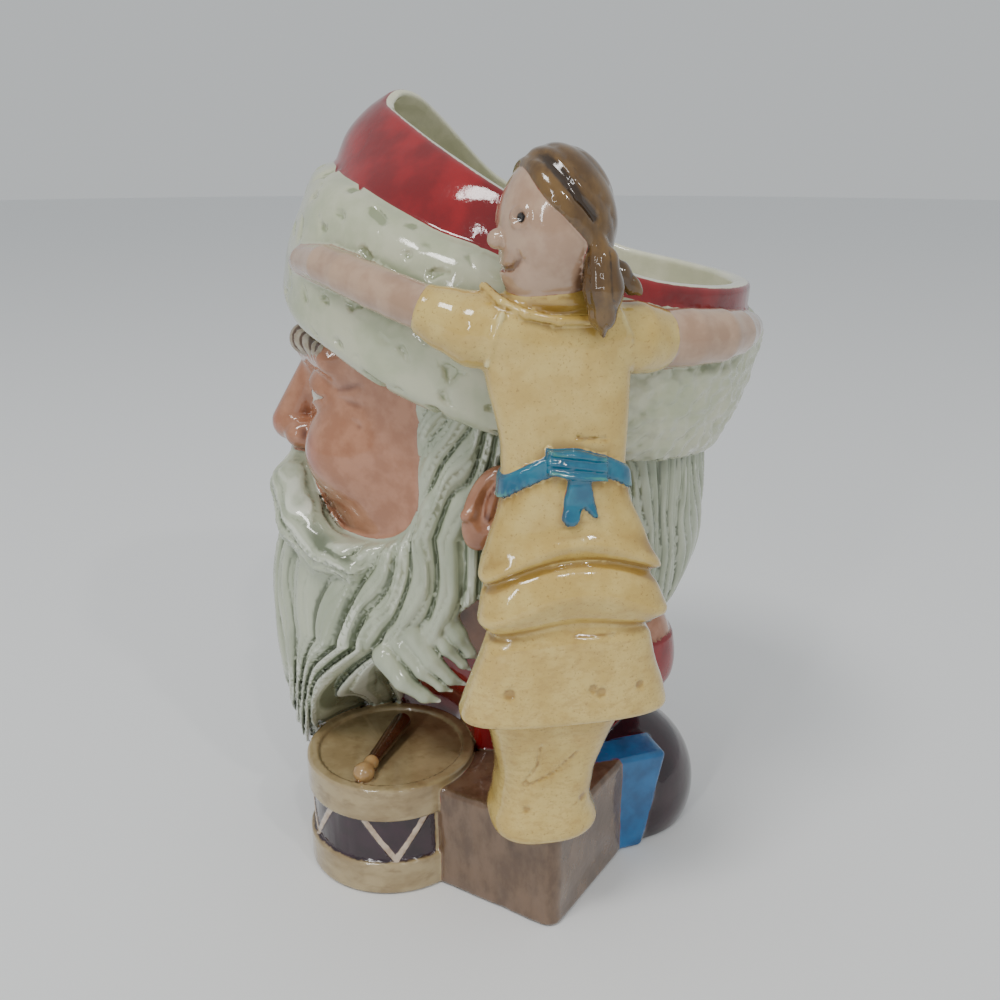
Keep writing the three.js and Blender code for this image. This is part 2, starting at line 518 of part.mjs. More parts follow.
function meshField(field, low, high, cell) {
  const count = low.map((value, axis) => Math.ceil((high[axis] - value) / cell) + 1);
  const indexOf = (i, j, k) => (k * count[1] + j) * count[0] + i;
  const values = new Float64Array(count[0] * count[1] * count[2]);
  const place = (n) => {
    const i = n % count[0];
    const j = Math.floor(n / count[0]) % count[1];
    const k = Math.floor(n / (count[0] * count[1]));
    return [low[0] + i * cell, low[1] + j * cell, low[2] + k * cell];
  };
  for (let n = 0; n < values.length; n++) values[n] = field(...place(n));

  const points = [];
  const triangles = [];
  const crossings = new Map();
  const crossing = (inside, outside) => {
    const key = inside < outside ? inside * values.length + outside : outside * values.length + inside;
    let index = crossings.get(key);
    if (index === undefined) {
      const a = place(inside);
      const b = place(outside);
      let t = clampNumber(values[inside] / (values[inside] - values[outside]), 0.04, 0.96);
      const at = a.map((value, axis) => mixNumbers(value, b[axis], t));
      const miss = field(...at);
      const slope = (values[outside] - values[inside]) || 1;
      t = clampNumber(t - miss / slope, 0.04, 0.96);
      index = points.length / 3;
      points.push(...a.map((value, axis) => mixNumbers(value, b[axis], t)));
      crossings.set(key, index);
    }
    return index;
  };
  const addTetrahedron = (corners) => {
    const inside = corners.filter((n) => values[n] < 0);
    const outside = corners.filter((n) => values[n] >= 0);
    if (inside.length === 0 || outside.length === 0) return;
    let ring;
    if (inside.length === 1) ring = outside.map((n) => crossing(inside[0], n));
    else if (outside.length === 1) ring = inside.map((n) => crossing(n, outside[0]));
    else ring = [[0, 0], [0, 1], [1, 1], [1, 0]].map(([a, b]) => crossing(inside[a], outside[b]));
    const [a, b, c] = ring.slice(0, 3).map((n) => new THREE.Vector3().fromArray(points, 3 * n));
    const [outer, inner] = [outside[0], inside[0]].map((n) => new THREE.Vector3().fromArray(place(n)));
    const outward = outer.sub(inner);
    if (b.sub(a).cross(c.sub(a)).dot(outward) < 0) ring.reverse();
    for (let n = 2; n < ring.length; n++) triangles.push(ring[0], ring[n - 1], ring[n]);
  };
  for (let k = 0; k + 1 < count[2]; k++) {
    for (let j = 0; j + 1 < count[1]; j++) {
      for (let i = 0; i + 1 < count[0]; i++) {
        const cube = CORNERS.map(([a, b, c]) => indexOf(i + a, j + b, k + c));
        const within = cube.filter((n) => values[n] < 0).length;
        if (within > 0 && within < cube.length) {
          for (const tetrahedron of TETRAHEDRA) addTetrahedron(tetrahedron.map((n) => cube[n]));
        }
      }
    }
  }
  return { points: Float64Array.from(points), triangles: Int32Array.from(triangles) };
}

// A heap of edges, the cheapest on top
class EdgeHeap {
  constructor() {
    this.edges = [];
  }

  push(edge) {
    const edges = this.edges;
    let n = edges.length;
    edges.push(edge);
    while (n > 0) {
      const parent = (n - 1) >> 1;
      if (edges[parent].cost <= edge.cost) break;
      edges[n] = edges[parent];
      n = parent;
    }
    edges[n] = edge;
  }

  pop() {
    const edges = this.edges;
    const top = edges[0];
    const last = edges.pop();
    if (edges.length === 0) return top;
    let n = 0;
    for (;;) {
      let child = 2 * n + 1;
      if (child >= edges.length) break;
      if (child + 1 < edges.length && edges[child + 1].cost < edges[child].cost) child++;
      if (edges[child].cost >= last.cost) break;
      edges[n] = edges[child];
      n = child;
    }
    edges[n] = last;
    return top;
  }
}

// Squared distances to planes are kept as ten sums: the upper half of a symmetric 4x4 matrix
function addPlane(sums, vertex, normal, offset, weight) {
  const row = [normal.x, normal.y, normal.z, offset];
  let n = 10 * vertex;
  for (let i = 0; i < 4; i++) {
    for (let j = i; j < 4; j++) sums[n++] += weight * row[i] * row[j];
  }
}

function planeCost(q, x, y, z) {
  return q[0] * x * x + 2 * q[1] * x * y + 2 * q[2] * x * z + 2 * q[3] * x + q[4] * y * y
    + 2 * q[5] * y * z + 2 * q[6] * y + q[7] * z * z + 2 * q[8] * z + q[9];
}

// The point with the least cost, or null where the planes don't settle one
function bestPoint(q) {
  const a = new THREE.Matrix3().set(q[0], q[1], q[2], q[1], q[4], q[5], q[2], q[5], q[7]);
  const size = q[0] + q[4] + q[7];
  if (Math.abs(a.determinant()) < 1e-7 * size ** 3) return null;
  return new THREE.Vector3(-q[3], -q[6], -q[8]).applyMatrix3(a.invert());
}

// Thins a closed mesh out to the wanted number of triangles. It always drops the edge whose loss moves
// the surface least, and never one whose loss would pinch or fold the surface.
function thinOut({ points, triangles }, wanted, weightAt) {
  const vertexCount = points.length / 3;
  const around = Array.from({ length: vertexCount }, () => []);
  const sums = new Float64Array(10 * vertexCount);
  const age = new Int32Array(vertexCount);
  const alive = new Uint8Array(triangles.length / 3).fill(1);
  const pointAt = (n) => new THREE.Vector3(points[3 * n], points[3 * n + 1], points[3 * n + 2]);
  const cornersOf = (t) => [triangles[3 * t], triangles[3 * t + 1], triangles[3 * t + 2]];
  const memory = 2e-3;

  for (let t = 0; t < alive.length; t++) {
    const corners = cornersOf(t);
    const [a, b, c] = corners.map(pointAt);
    const normal = b.clone().sub(a).cross(c.clone().sub(a));
    const area = normal.length() / 2;
    normal.normalize();
    const weight = area * weightAt(a.x, a.y, a.z);
    for (const n of corners) {
      around[n].push(t);
      if (area > 1e-9) addPlane(sums, n, normal, -normal.dot(a), weight);
      const p = pointAt(n);
      addPlane(sums, n, new THREE.Vector3(1, 0, 0), -p.x, memory * weight);
      addPlane(sums, n, new THREE.Vector3(0, 1, 0), -p.y, memory * weight);
      addPlane(sums, n, new THREE.Vector3(0, 0, 1), -p.z, memory * weight);
    }
  }

  const neighboursOf = (n) => {
    const found = new Set();
    for (const t of around[n]) for (const m of cornersOf(t)) found.add(m);
    found.delete(n);
    return found;
  };
  const rate = (a, b) => {
    const q = sums.slice(10 * a, 10 * a + 10).map((value, i) => value + sums[10 * b + i]);
    const ends = [pointAt(a), pointAt(b)];
    const choices = [ends[0], ends[1], ends[0].clone().lerp(ends[1], 0.5)];
    const best = bestPoint(q);
    const reach = 2 * ends[0].distanceTo(ends[1]) + 0.1;
    if (best && best.distanceTo(choices[2]) < reach) choices.unshift(best);
    let edge = null;
    for (const p of choices) {
      const cost = planeCost(q, p.x, p.y, p.z);
      if (!edge || cost < edge.cost) edge = { cost, a, b, p, ageA: age[a], ageB: age[b] };
    }
    return edge;
  };
  const wouldFold = (from, other, target) => around[from].some((t) => {
    const corners = cornersOf(t);
    if (corners.includes(other)) return false;
    const old = corners.map(pointAt);
    const moved = corners.map((n, i) => (n === from ? target : old[i]));
    const normalOf = ([p, q, r]) => q.clone().sub(p).cross(r.clone().sub(p));
    const before = normalOf(old);
    const after = normalOf(moved);
    const longest = ([p, q, r]) => Math.max(p.distanceTo(q), q.distanceTo(r), r.distanceTo(p));
    const narrow = after.length() / longest(moved);
    const wasNarrow = before.length() / longest(old);
    return before.dot(after) < 0.25 * before.length() * after.length() || (narrow < 0.22 && narrow < wasNarrow);
  });

  const heap = new EdgeHeap();
  for (let t = 0; t < alive.length; t++) {
    const corners = cornersOf(t);
    for (let i = 0; i < 3; i++) {
      const a = corners[i];
      const b = corners[(i + 1) % 3];
      if (a < b) heap.push(rate(a, b));
    }
  }
  let left = alive.length;
  while (left > wanted && heap.edges.length > 0) {
    const edge = heap.pop();
    const { a, b, p } = edge;
    if (edge.ageA !== age[a] || edge.ageB !== age[b]) continue;
    const shared = around[a].filter((t) => around[b].includes(t));
    const besideB = neighboursOf(b);
    const common = [...neighboursOf(a)].filter((n) => besideB.has(n));
    if (shared.length !== 2 || common.length !== 2) continue;
    if (wouldFold(a, b, p) || wouldFold(b, a, p)) continue;
    for (const t of shared) {
      alive[t] = 0;
      for (const n of cornersOf(t)) around[n] = around[n].filter((other) => other !== t);
    }
    for (const t of around[b]) {
      for (let i = 0; i < 3; i++) if (triangles[3 * t + i] === b) triangles[3 * t + i] = a;
    }
    around[a].push(...around[b]);
    around[b] = [];
    for (let i = 0; i < 10; i++) sums[10 * a + i] += sums[10 * b + i];
    points.set([p.x, p.y, p.z], 3 * a);
    age[b] = -1;
    left -= shared.length;
    const beside = neighboursOf(a);
    age[a]++;
    for (const n of beside) heap.push(rate(a, n));
  }

  const renamed = new Int32Array(vertexCount).fill(-1);
  const keptPoints = [];
  const keptTriangles = [];
  for (let t = 0; t < alive.length; t++) {
    if (!alive[t]) continue;
    for (const n of cornersOf(t)) {
      if (renamed[n] < 0) {
        renamed[n] = keptPoints.length / 3;
        keptPoints.push(points[3 * n], points[3 * n + 1], points[3 * n + 2]);
      }
      keptTriangles.push(renamed[n]);
    }
  }
  return { points: Float64Array.from(keptPoints), triangles: Int32Array.from(keptTriangles) };
}

// Keeps the casting's one outer skin. The small pockets that the forms shut in between them are clay.
function fillPockets({ points, triangles }) {
  const shellOf = Int32Array.from({ length: points.length / 3 }, (_, n) => n);
  const find = (n) => {
    while (shellOf[n] !== n) {
      shellOf[n] = shellOf[shellOf[n]];
      n = shellOf[n];
    }
    return n;
  };
  for (let t = 0; t < triangles.length; t += 3) {
    shellOf[find(triangles[t])] = find(triangles[t + 1]);
    shellOf[find(triangles[t])] = find(triangles[t + 2]);
  }
  const sizes = new Map();
  for (let t = 0; t < triangles.length; t += 3) {
    const shell = find(triangles[t]);
    sizes.set(shell, (sizes.get(shell) ?? 0) + 1);
  }
  const [largest] = [...sizes].reduce((a, b) => (b[1] > a[1] ? b : a));
  return { points, triangles: triangles.filter((n) => find(n) === largest) };
}

// Cuts the casting flat at z = 0. Points that lie almost on the cut are lowered first, which keeps
// needle-thin triangles away from the edge of the underside.
async function cutFlat({ points, triangles }) {
  const wasm = await Module();
  wasm.setup();
  const nearCut = 0.4;
  for (let n = 2; n < points.length; n += 3) {
    if (Math.abs(points[n]) < nearCut) points[n] = -nearCut;
  }
  const casting = new wasm.Manifold(new wasm.Mesh({
    numProp: 3, vertProperties: Float32Array.from(points), triVerts: Uint32Array.from(triangles),
  }));
  const below = new THREE.BoxGeometry(4 * HEIGHT, 4 * HEIGHT, HEIGHT).translate(0, 0, -HEIGHT / 2);
  below.deleteAttribute('normal');
  below.deleteAttribute('uv');
  const slab = mergeVertices(below);
  const cutter = new wasm.Manifold(new wasm.Mesh({
    numProp: 3,
    vertProperties: Float32Array.from(slab.attributes.position.array),
    triVerts: Uint32Array.from(slab.index.array),
  }));
  const flat = casting.subtract(cutter).getMesh();
  const geometry = new THREE.BufferGeometry();
  geometry.setAttribute('position', new THREE.BufferAttribute(flat.vertProperties, 3));
  geometry.setIndex(new THREE.BufferAttribute(flat.triVerts, 1));
  geometry.computeVertexNormals();
  return geometry;
}

// Smooth stretches inside the vessel need fewer triangles than the carving outside
function carvingWeight(x, y, z) {
  const [headX, headY] = turned(x, y, HEAD_TURN);
  if (Math.abs(cavityLoft(headX, headY, z)) < CELL / 2) return INSIDE_WEIGHT;
  const onDollHead = Math.hypot(x - DOLL_HEAD.x, y - DOLL_HEAD.y, z - DOLL_HEAD.z) < 2 * DOLL_HEAD.halfZ;
  return onDollHead ? FINE_WEIGHT : 1;
}

const fullMesh = meshField(jugField, LOW_CORNER, HIGH_CORNER, CELL);
const jugGeometry = await cutFlat(thinOut(fillPockets(fullMesh), TRIANGLES, carvingWeight));
const glaze = new THREE.MeshStandardMaterial({ color: 0xb9b59a, roughness: 0.15, metalness: 0 });
const jug = new THREE.Mesh(jugGeometry, glaze);
jug.name = 'jug';
const tobyJug = new THREE.Group();
tobyJug.add(jug);

export default tobyJug;
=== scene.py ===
import math

import bpy
import numpy as np
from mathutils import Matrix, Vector


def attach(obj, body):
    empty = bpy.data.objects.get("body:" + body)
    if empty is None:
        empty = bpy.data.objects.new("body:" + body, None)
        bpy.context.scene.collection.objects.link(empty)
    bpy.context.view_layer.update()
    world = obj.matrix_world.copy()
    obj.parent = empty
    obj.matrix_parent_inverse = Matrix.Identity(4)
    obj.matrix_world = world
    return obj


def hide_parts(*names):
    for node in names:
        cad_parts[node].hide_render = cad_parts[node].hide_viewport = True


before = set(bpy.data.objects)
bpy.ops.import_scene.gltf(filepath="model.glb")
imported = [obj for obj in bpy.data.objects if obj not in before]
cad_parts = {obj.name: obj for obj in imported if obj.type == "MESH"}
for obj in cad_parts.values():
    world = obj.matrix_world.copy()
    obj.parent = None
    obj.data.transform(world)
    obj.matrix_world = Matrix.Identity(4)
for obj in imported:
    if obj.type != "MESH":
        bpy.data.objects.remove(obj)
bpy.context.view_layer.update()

MM = 0.001
FAR = 30.0

# Sizes in millimetres
CELL = 0.74    # the grid that the field is meshed on
TRIANGLES = 196000
HEAD_TURN = -15                       # degrees: the face looks towards -Y, turned this much about Z
LIP_ROUND = 1.6                       # rounding of the mouth's rim
FOOT_ROUND = 0.9                      # rounding of the edge of the flat underside

# Outlines by height: [height, front, back, half width], front and back along the head's own Y
COAT = [
    [-8, -38, 28, 34], [4, -42, 29, 35.5], [15, -47, 30, 37], [30, -50, 34, 38.5],
    [36, -50.5, 41, 38.5], [43, -51, 46, 38.5], [55, -49, 45.5, 37], [63, -46, 42, 35],
    [72, -40, 37, 31], [84, -36, 32, 28],
]
SKIN = [
    [68, -36, 30, 26], [78, -42, 38, 31], [88, -45, 42, 34], [100, -46.5, 45.5, 35.5],
    [115, -46.8, 47, 36.5], [130, -46.5, 49, 38.5], [145, -45, 52, 42], [152, -44, 53, 43],
]
HAIR = [
    [12, -47, 38, 24], [21, -54, 40, 30], [33, -57.5, 41, 35.5], [50, -59.5, 42, 38.5],
    [63, -60, 43, 38.5], [70, -60, 47, 37.8], [80, -58, 50.5, 37.5], [92, -53.5, 51.5, 37.5],
    [103, -50, 51.2, 37.8], [115, -48.5, 50.5, 38.3], [130, -47, 50, 39.5],
]
CROWN = [
    [136, -44, 59, 45], [150, -44.8, 60, 45], [160, -44.5, 60, 43], [168, -42, 60, 40],
    [173.7, -38.8, 60, 35.5], [180.6, -35.7, 60, 27], [185.6, -31, 60, 21], [188.9, -26, 60, 15],
    [190.8, -22, 60, 9], [193, -17, 60, 2],
]
CAVITY = [
    [6, -20, 18, 18], [8, -29, 24, 26], [13, -35, 26.5, 30], [22, -40, 28, 32], [30, -45, 30.5, 33],
    [36, -48, 36.5, 33.2], [43, -49.7, 41, 33.5], [60, -51.5, 38, 31.5], [72, -49, 36.5, 28.5],
    [84, -44, 40, 29.5],
    [95, -41, 42, 30.5], [110, -41, 43, 31.5], [128, -41, 46.5, 34.5], [140, -40.5, 54, 40.5],
    [155, -40.3, 55.7, 40.2], [165, -38.7, 55.7, 37], [173, -34.8, 55.7, 31.5], [180, -31.5, 55.7, 23.2],
    [185, -27.4, 55.7, 17], [188.5, -22.3, 55.7, 11], [191, -18, 55.7, 5.5], [200, -14, 55.7, 3],
]
# The rim of the mouth seen from the side: [place along Y, height], away from the handle and by it
RIM_FAR = [
    [-40, 204], [-24, 192.8], [-17, 186], [-5, 171.5], [3.5, 166], [28, 152.6], [45, 149], [70, 146],
]
RIM_NEAR = [
    [-40, 197], [-28, 188.4], [-15, 179.8], [-1, 171.5], [12, 164], [28, 153.4], [45, 149], [70, 146],
]

# On the handle's side the coat is narrower, which leaves the finger gap open down to the toys
SLIM = {"share": 1.9, "full": 55, "none": 86}
COLLAR_TOP = 54.5                     # height of the collar's edge
COLLAR_PROUD = 0.8

# The doll by height: [height, centre X, centre Y, half depth X, half width Y]
LEGS = [
    [24, 48, 0.3, 9, 8.4], [26.6, 48, 0.5, 10.6, 11.4], [28.8, 48, 0.8, 11, 12.6],
    [31, 48, 0.7, 11, 12.3], [33.6, 48, 0.6, 10.7, 11.4], [36.4, 48, 0.6, 10.5, 11.1],
    [40, 48.2, 1, 10.4, 11.1], [43.4, 48.5, 1.2, 10.1, 11.4], [47, 48.8, 1.6, 9.8, 12.4],
    [50.8, 49.2, 1.9, 9.8, 13.5], [58, 50.4, 2.4, 10.4, 15.6],
]
DRESS = [
    [60, 57, 3.1, 9.4, 23.6], [67, 57.6, 3.3, 8.5, 21.6], [71.6, 58.1, 3.2, 7.7, 20],
    [76.2, 58.5, 3.4, 7.1, 18.6], [80.8, 58.9, 3.6, 6.4, 17.6], [82.4, 59.3, 3.8, 6.8, 18.4],
    [84.9, 60, 4.1, 7.1, 19.8], [88, 59.8, 3.8, 6.8, 19.4], [91.9, 59, 3.3, 6, 18.2],
    [94.3, 59.7, 3.4, 6.4, 19], [97.7, 59, 2.5, 6.1, 17.6], [100, 58.8, 2.4, 6, 16.6],
    [103.2, 58.7, 2.1, 5.9, 15.3], [106.4, 58.6, 2, 5.8, 14], [110, 58.4, 2, 5.8, 13.2],
    [113.9, 58.2, 2, 5.6, 12.8], [117, 58, 1.9, 5.5, 12.7], [123, 58, 1.8, 5.6, 13],
    [135, 57.6, 0.5, 6.4, 14.5], [142, 57.2, 0.2, 6.7, 14.8], [147, 57, 0.1, 6.2, 13.4],
    [151, 57, 0, 5, 9.5],
]
# The hems of the dress arch up in the middle of the back: [height, lift]
HEM_LIFT = [[78, 0], [84, 3], [91, 6.2], [98, 6.2], [102, 7.3], [110, 4], [120, 0]]
FRONT_ARM = [
    [50.5, -23.5, 146.9, 4.7], [45, -29, 148.8, 4.6], [40, -33.5, 150.4, 4.5], [33.5, -38.3, 152.2, 4.4],
    [26, -42.4, 153.4, 4.2], [14, -46.6, 153.4, 3.2], [9, -47.8, 152.6, 2.4],
]
BACK_ARM = [
    [51, 22, 139.9, 6.1], [49.8, 30, 139.8, 6], [46.6, 37.4, 139.4, 5.7], [41.8, 43.2, 139, 5],
    [36, 47.6, 138.5, 4.3], [28.6, 52.2, 137.8, 3.6], [23, 55.4, 137.2, 2.6],
]
FRONT_SLEEVE = [
    [56.5, -9, 143, 7.2], [54.5, -15, 143.6, 7.4], [52, -20.3, 145.4, 6.2], [49.8, -25, 147.2, 4.9],
]
BACK_SLEEVE = [
    [56.5, 9, 142.5, 6.6], [54.3, 16.5, 141, 7.2], [52.6, 19.6, 140.3, 6.9], [51, 22.6, 139.8, 6.4],
]

# Toys at the foot. A block's lean is how far its foot is shifted.
DRUM = {
    "x": 15, "y": -31.7, "radius": 20.3, "height": 30, "hoop_height": 9, "hoop_proud": 1.3,
    "head_sunk": 1, "cord_turn": -3.5, "cord_period": 71, "cord_rise": 37.6, "cord_width": 0.75,
}
BOX = {
    "x": 30.8, "y": 2.3, "half_a": 18.75, "half_b": 17.5, "height": 27.5, "turn": 137, "corner": 3.5,
    "edge": 2, "lean": 0,
}
BLOCK = {
    "x": 24.5, "y": 27.6, "half_a": 5.5, "half_b": 11, "height": 27.5, "turn": 8, "corner": 1.5,
    "edge": 2, "lean": 6,
}
BALL = {"x": 7.1, "y": 31.5, "z": 8.9, "radius": 21.9}


# Helpers for distances

def mix(a, b, share):
    return a + (b - a) * share


def join(a, b, blend):
    h = np.maximum(blend - np.abs(a - b), 0) / blend
    return np.minimum(a, b) - h * h * blend * 0.25


def overlap(a, b, blend):
    return -join(-a, -b, blend)


def join_all(distances, blend):
    result = distances[0]
    for distance in distances[1:]:
        result = join(result, distance, blend)
    return result


def smooth_step(start, end, value):
    t = np.clip((value - start) / (end - start), 0, 1)
    return t * t * (3 - 2 * t)


def dent(distance, width, depth):
    """A soft hollow round a line or point, to add to a distance field"""
    return depth * np.exp(-(distance / width) ** 2)


def length(*parts):
    return np.sqrt(sum(part * part for part in parts))


def turned(x, y, degrees):
    c = math.cos(math.radians(degrees))
    s = math.sin(math.radians(degrees))
    return x * c + y * s, y * c - x * s


def make_outline(rows):
    """The columns of a table by height, on smooth curves through the rows"""
    rows = np.array(rows, float)
    height, columns = rows[:, 0], rows[:, 1:]
    before = np.maximum(np.arange(len(rows)) - 1, 0)
    after = np.minimum(np.arange(len(rows)) + 1, len(rows) - 1)
    slope = (columns[after] - columns[before]) / (height[after] - height[before])[:, None]
    fine = np.linspace(height[0], height[-1], int((height[-1] - height[0]) / 0.4) + 2)
    i = np.clip(np.searchsorted(height, fine, side="right") - 1, 0, len(rows) - 2)
    span = (height[i + 1] - height[i])[:, None]
    t = (fine - height[i])[:, None] / span
    u = 1 - t
    curve = u * u * (1 + 2 * t) * columns[i] + t * t * (3 - 2 * t) * columns[i + 1]
    curve += t * u * u * span * slope[i] - t * t * u * span * slope[i + 1]
    return lambda z: [np.interp(z, fine, column) for column in curve.T]


def ellipse(x, y, half_x, half_y):
    return oval((x, y), (half_x, half_y))


def ellipsoid(x, y, z, half_x, half_y, half_z):
    return oval((x, y, z), (half_x, half_y, half_z))


def oval(place, half):
    k = length(*[p / h for p, h in zip(place, half)])
    slope = length(*[p / h ** 2 for p, h in zip(place, half)])
    return (k - 1) * k / np.maximum(slope, 1e-6)


def make_loft(rows, bottom, top):
    """A loft stacked from ellipses, from an outline of [front, back, half width]"""
    outline = make_outline(rows)

    def loft(x, y, z):
        front, back, half = outline(z)
        side = ellipse(x, y - (front + back) / 2, half, (back - front) / 2)
        return overlap(side, np.maximum(bottom - z, z - top), 2)
    return loft


def make_figure_loft(rows, bottom, top, rounding):
    """A loft stacked from squarish rounds, from an outline of [centre X, centre Y, half X, half Y]"""
    outline = make_outline(rows)
    power = 2.8

    def loft(x, y, z):
        centre_x, centre_y, half_x, half_y = outline(z)
        a = np.abs(x - centre_x) / half_x
        b = np.abs(y - centre_y) / half_y
        k = np.maximum((a ** power + b ** power) ** (1 / power), 1e-6)
        slope = length(a ** (power - 1) / half_x, b ** (power - 1) / half_y) / k ** (power - 1)
        side = (k - 1) / np.maximum(slope, 1 / np.maximum(half_x, half_y))
        return overlap(side, np.maximum(bottom - z, z - top), rounding)
    return loft


def rod(x, y, z, start, end, radius_start, radius_end):
    """A rod with round ends whose radius runs from one end to the other"""
    dx, dy, dz = (b - a for a, b in zip(start[:3], end[:3]))
    along = (x - start[0]) * dx + (y - start[1]) * dy + (z - start[2]) * dz
    t = np.clip(along / (dx * dx + dy * dy + dz * dz), 0, 1)
    away = length(x - start[0] - t * dx, y - start[1] - t * dy, z - start[2] - t * dz)
    return away - mix(radius_start, radius_end, t)


def chain(x, y, z, points, blend):
    """Rods through points of [x, y, z, radius]"""
    rods = [rod(x, y, z, a, b, a[3], b[3]) for a, b in zip(points, points[1:])]
    return join_all(rods, blend)


def only_near(low, high, shape, x, y, z):
    """The shape's distance inside a box, and FAR outside it"""
    near = (x > low[0]) & (x < high[0]) & (y > low[1]) & (y < high[1]) & (z > low[2]) & (z < high[2])
    result = np.full(x.shape, FAR)
    if near.any():
        result[near] = shape(x[near], y[near], z[near])
    return result


# Noise for what was cut and dabbed by hand
NOISE_SIZE = 128
NOISE_ANGLE = np.random.default_rng(5).uniform(0, 2 * math.pi, (NOISE_SIZE, NOISE_SIZE))
NOISE_COS = np.cos(NOISE_ANGLE)
NOISE_SIN = np.sin(NOISE_ANGLE)


def wander(u, v, around=NOISE_SIZE):
    """Smooth noise from about -1 to 1 that repeats every `around` cells along u"""
    cell_u = np.floor(u).astype(int)
    cell_v = np.floor(v).astype(int)
    u = u - cell_u
    v = v - cell_v

    def corner(du, dv):
        i = (cell_u + du) % around
        j = (cell_v + dv) % NOISE_SIZE
        return NOISE_COS[i, j] * (u - du) + NOISE_SIN[i, j] * (v - dv)

    ease_u = u * u * u * (u * (6 * u - 15) + 10)
    ease_v = v * v * v * (v * (6 * v - 15) + 10)
    near = mix(corner(0, 0), corner(1, 0), ease_u)
    return 1.5 * mix(near, mix(corner(0, 1), corner(1, 1), ease_u), ease_v)


def ridges(phase):
    """Round ridges with narrow valleys between them, one ridge to each whole number"""
    return np.abs(np.sin(math.pi * phase)) ** 0.8


# The head and the coat, in the head's own frame: the face towards -Y
def slimmed(loft):
    """The loft, narrower on the handle's side at the foot"""
    def slim(x, y, z):
        share = mix(SLIM["share"], 1, smooth_step(SLIM["full"], SLIM["none"], z))
        return loft(np.where(x > 0, x * share, x), y, z)
    return slim


def from_drum(x, y):
    """Places towards the handle and across, from the middle of the drum"""
    centre_x, centre_y = turned(DRUM["x"], DRUM["y"], HEAD_TURN)
    return turned(x - centre_x, y - centre_y, -HEAD_TURN)


def drum_clearance(x, y, z):
    """The head slopes in above the drum, which leaves the whole drum head free"""
    forward, across = from_drum(x, y)
    reach = DRUM["radius"] + DRUM["hoop_proud"]
    far_edge = -np.sqrt(np.maximum(reach ** 2 - across ** 2, 0))
    beside = np.maximum(np.abs(across) - reach + 2, 0)
    return 0.7 * (DRUM["height"] + 0.95 * (forward - far_edge) - 3 * beside - z)


skin_loft = slimmed(make_loft(SKIN, 66, 150))
whole_coat = slimmed(make_loft(COAT, -20, 84))
hair_loft = make_loft(HAIR, 8, 132)
crown_loft = make_loft(CROWN, 134, 196)
whole_cavity = slimmed(make_loft(CAVITY, 6.5, 210))
far_rim = make_outline(RIM_FAR)
near_rim = make_outline(RIM_NEAR)


def rim_height(x, y):
    return mix(far_rim(y)[0], near_rim(y)[0], smooth_step(-8, 10, x))


def coat(x, y, z):
    cloth = overlap(whole_coat(x, y, z), drum_clearance(x, y, z) + 2.5, 6)
    return cloth - COLLAR_PROUD * smooth_step(COLLAR_TOP + 0.5, COLLAR_TOP - 0.5, z)


def cavity_loft(x, y, z):
    return overlap(whole_cavity(x, y, z), drum_clearance(x, y, z) + 5.8, 6)


EYE = {"x": 15.2, "y": -37.5, "z": 122, "radius": 6.6, "iris": 3, "pupil": 1.3}


def eye_lids(side, y, z):
    """An upper and a lower lid that meet at the corners of the eye"""
    across = (side - EYE["x"]) ** 2
    ball = length(side - EYE["x"], y - EYE["y"], z - EYE["z"])
    upper_edge = EYE["z"] + 2 - 0.052 * across - z
    lower_edge = z - EYE["z"] + 2.7 - 0.045 * across
    upper = overlap(ball - EYE["radius"] - 0.9, upper_edge, 0.5)
    lower = overlap(ball - EYE["radius"] - 0.7, lower_edge, 0.5)
    return join(upper, lower, 0.4)


def nose(x, y, z):
    side = np.abs(x)
    bridge = rod(x, y, z, [0, -45, 129], [0, -53.8, 110.2], 3.2, 5)
    wing = ellipsoid(side - 5.4, y + 49.3, z - 108, 3.6, 4.8, 3.6)
    clay = join(bridge, wing, 2.4)
    nostril = ellipsoid(side - 3.4, y + 51.2, z - 104.2, 1.5, 2.4, 2.2)
    return overlap(clay, -nostril, 0.8)


def face(x, y, z):
    side = np.abs(x)
    clay = skin_loft(x, y, z)
    cheek = ellipsoid(side - 18, y + 33, z - 107.5, 10.5, 11.5, 9.5)
    clay = join(clay, cheek, 11)
    brow = rod(side, y, z, [5, -45.2, 130.5], [23, -37.5, 131], 4.6, 3.4)
    clay = join(clay, brow, 4)
    socket = ellipsoid(side - EYE["x"], y + 49, z - EYE["z"], 8, 7.5, 5.6)
    clay = overlap(clay, -socket, 4)
    ball = length(side - EYE["x"], y - EYE["y"], z - EYE["z"]) - EYE["radius"]
    clay = join(join(clay, ball, 0.5), eye_lids(side, y, z), 0.7)
    clay = join(clay, nose(x, y, z), 3)
    fold = chain(side, y, z, [[8.5, -48, 109, 0], [13.5, -46.5, 102.5, 0], [18.5, -43, 97, 0]], 1)
    clay = clay + dent(fold, 2, 0.9)
    for rise in (-1.6, 0.6, 2.8):
        crease = rod(side, y, z, [23.6, -35.5, 121 + rise], [29, -30, 120 + 2.2 * rise], 0, 0)
        clay = clay + dent(crease, 1.1, 0.45)
    return clay


EAR = {"y": 0.5, "z": 101.5}


def ear(x, y, z):
    side = np.abs(x) - 40.6
    z = z - EAR["z"]
    lean = y - EAR["y"] - z * 0.25
    shell = ellipsoid(side, lean, z, 3.2, 5.6, 10)
    hollow = ellipsoid(side - 3.4, lean - 0.2, z - 2, 2.4, 3.7, 7)
    fold = ellipsoid(side - 1, lean - 0.6, z - 1.5, 1.6, 1.5, 5)
    flap = length(side - 1.6, lean + 4.2, z + 1) - 1.7
    return join(join(overlap(shell, -hollow, 1), fold, 0.8), flap, 0.8)


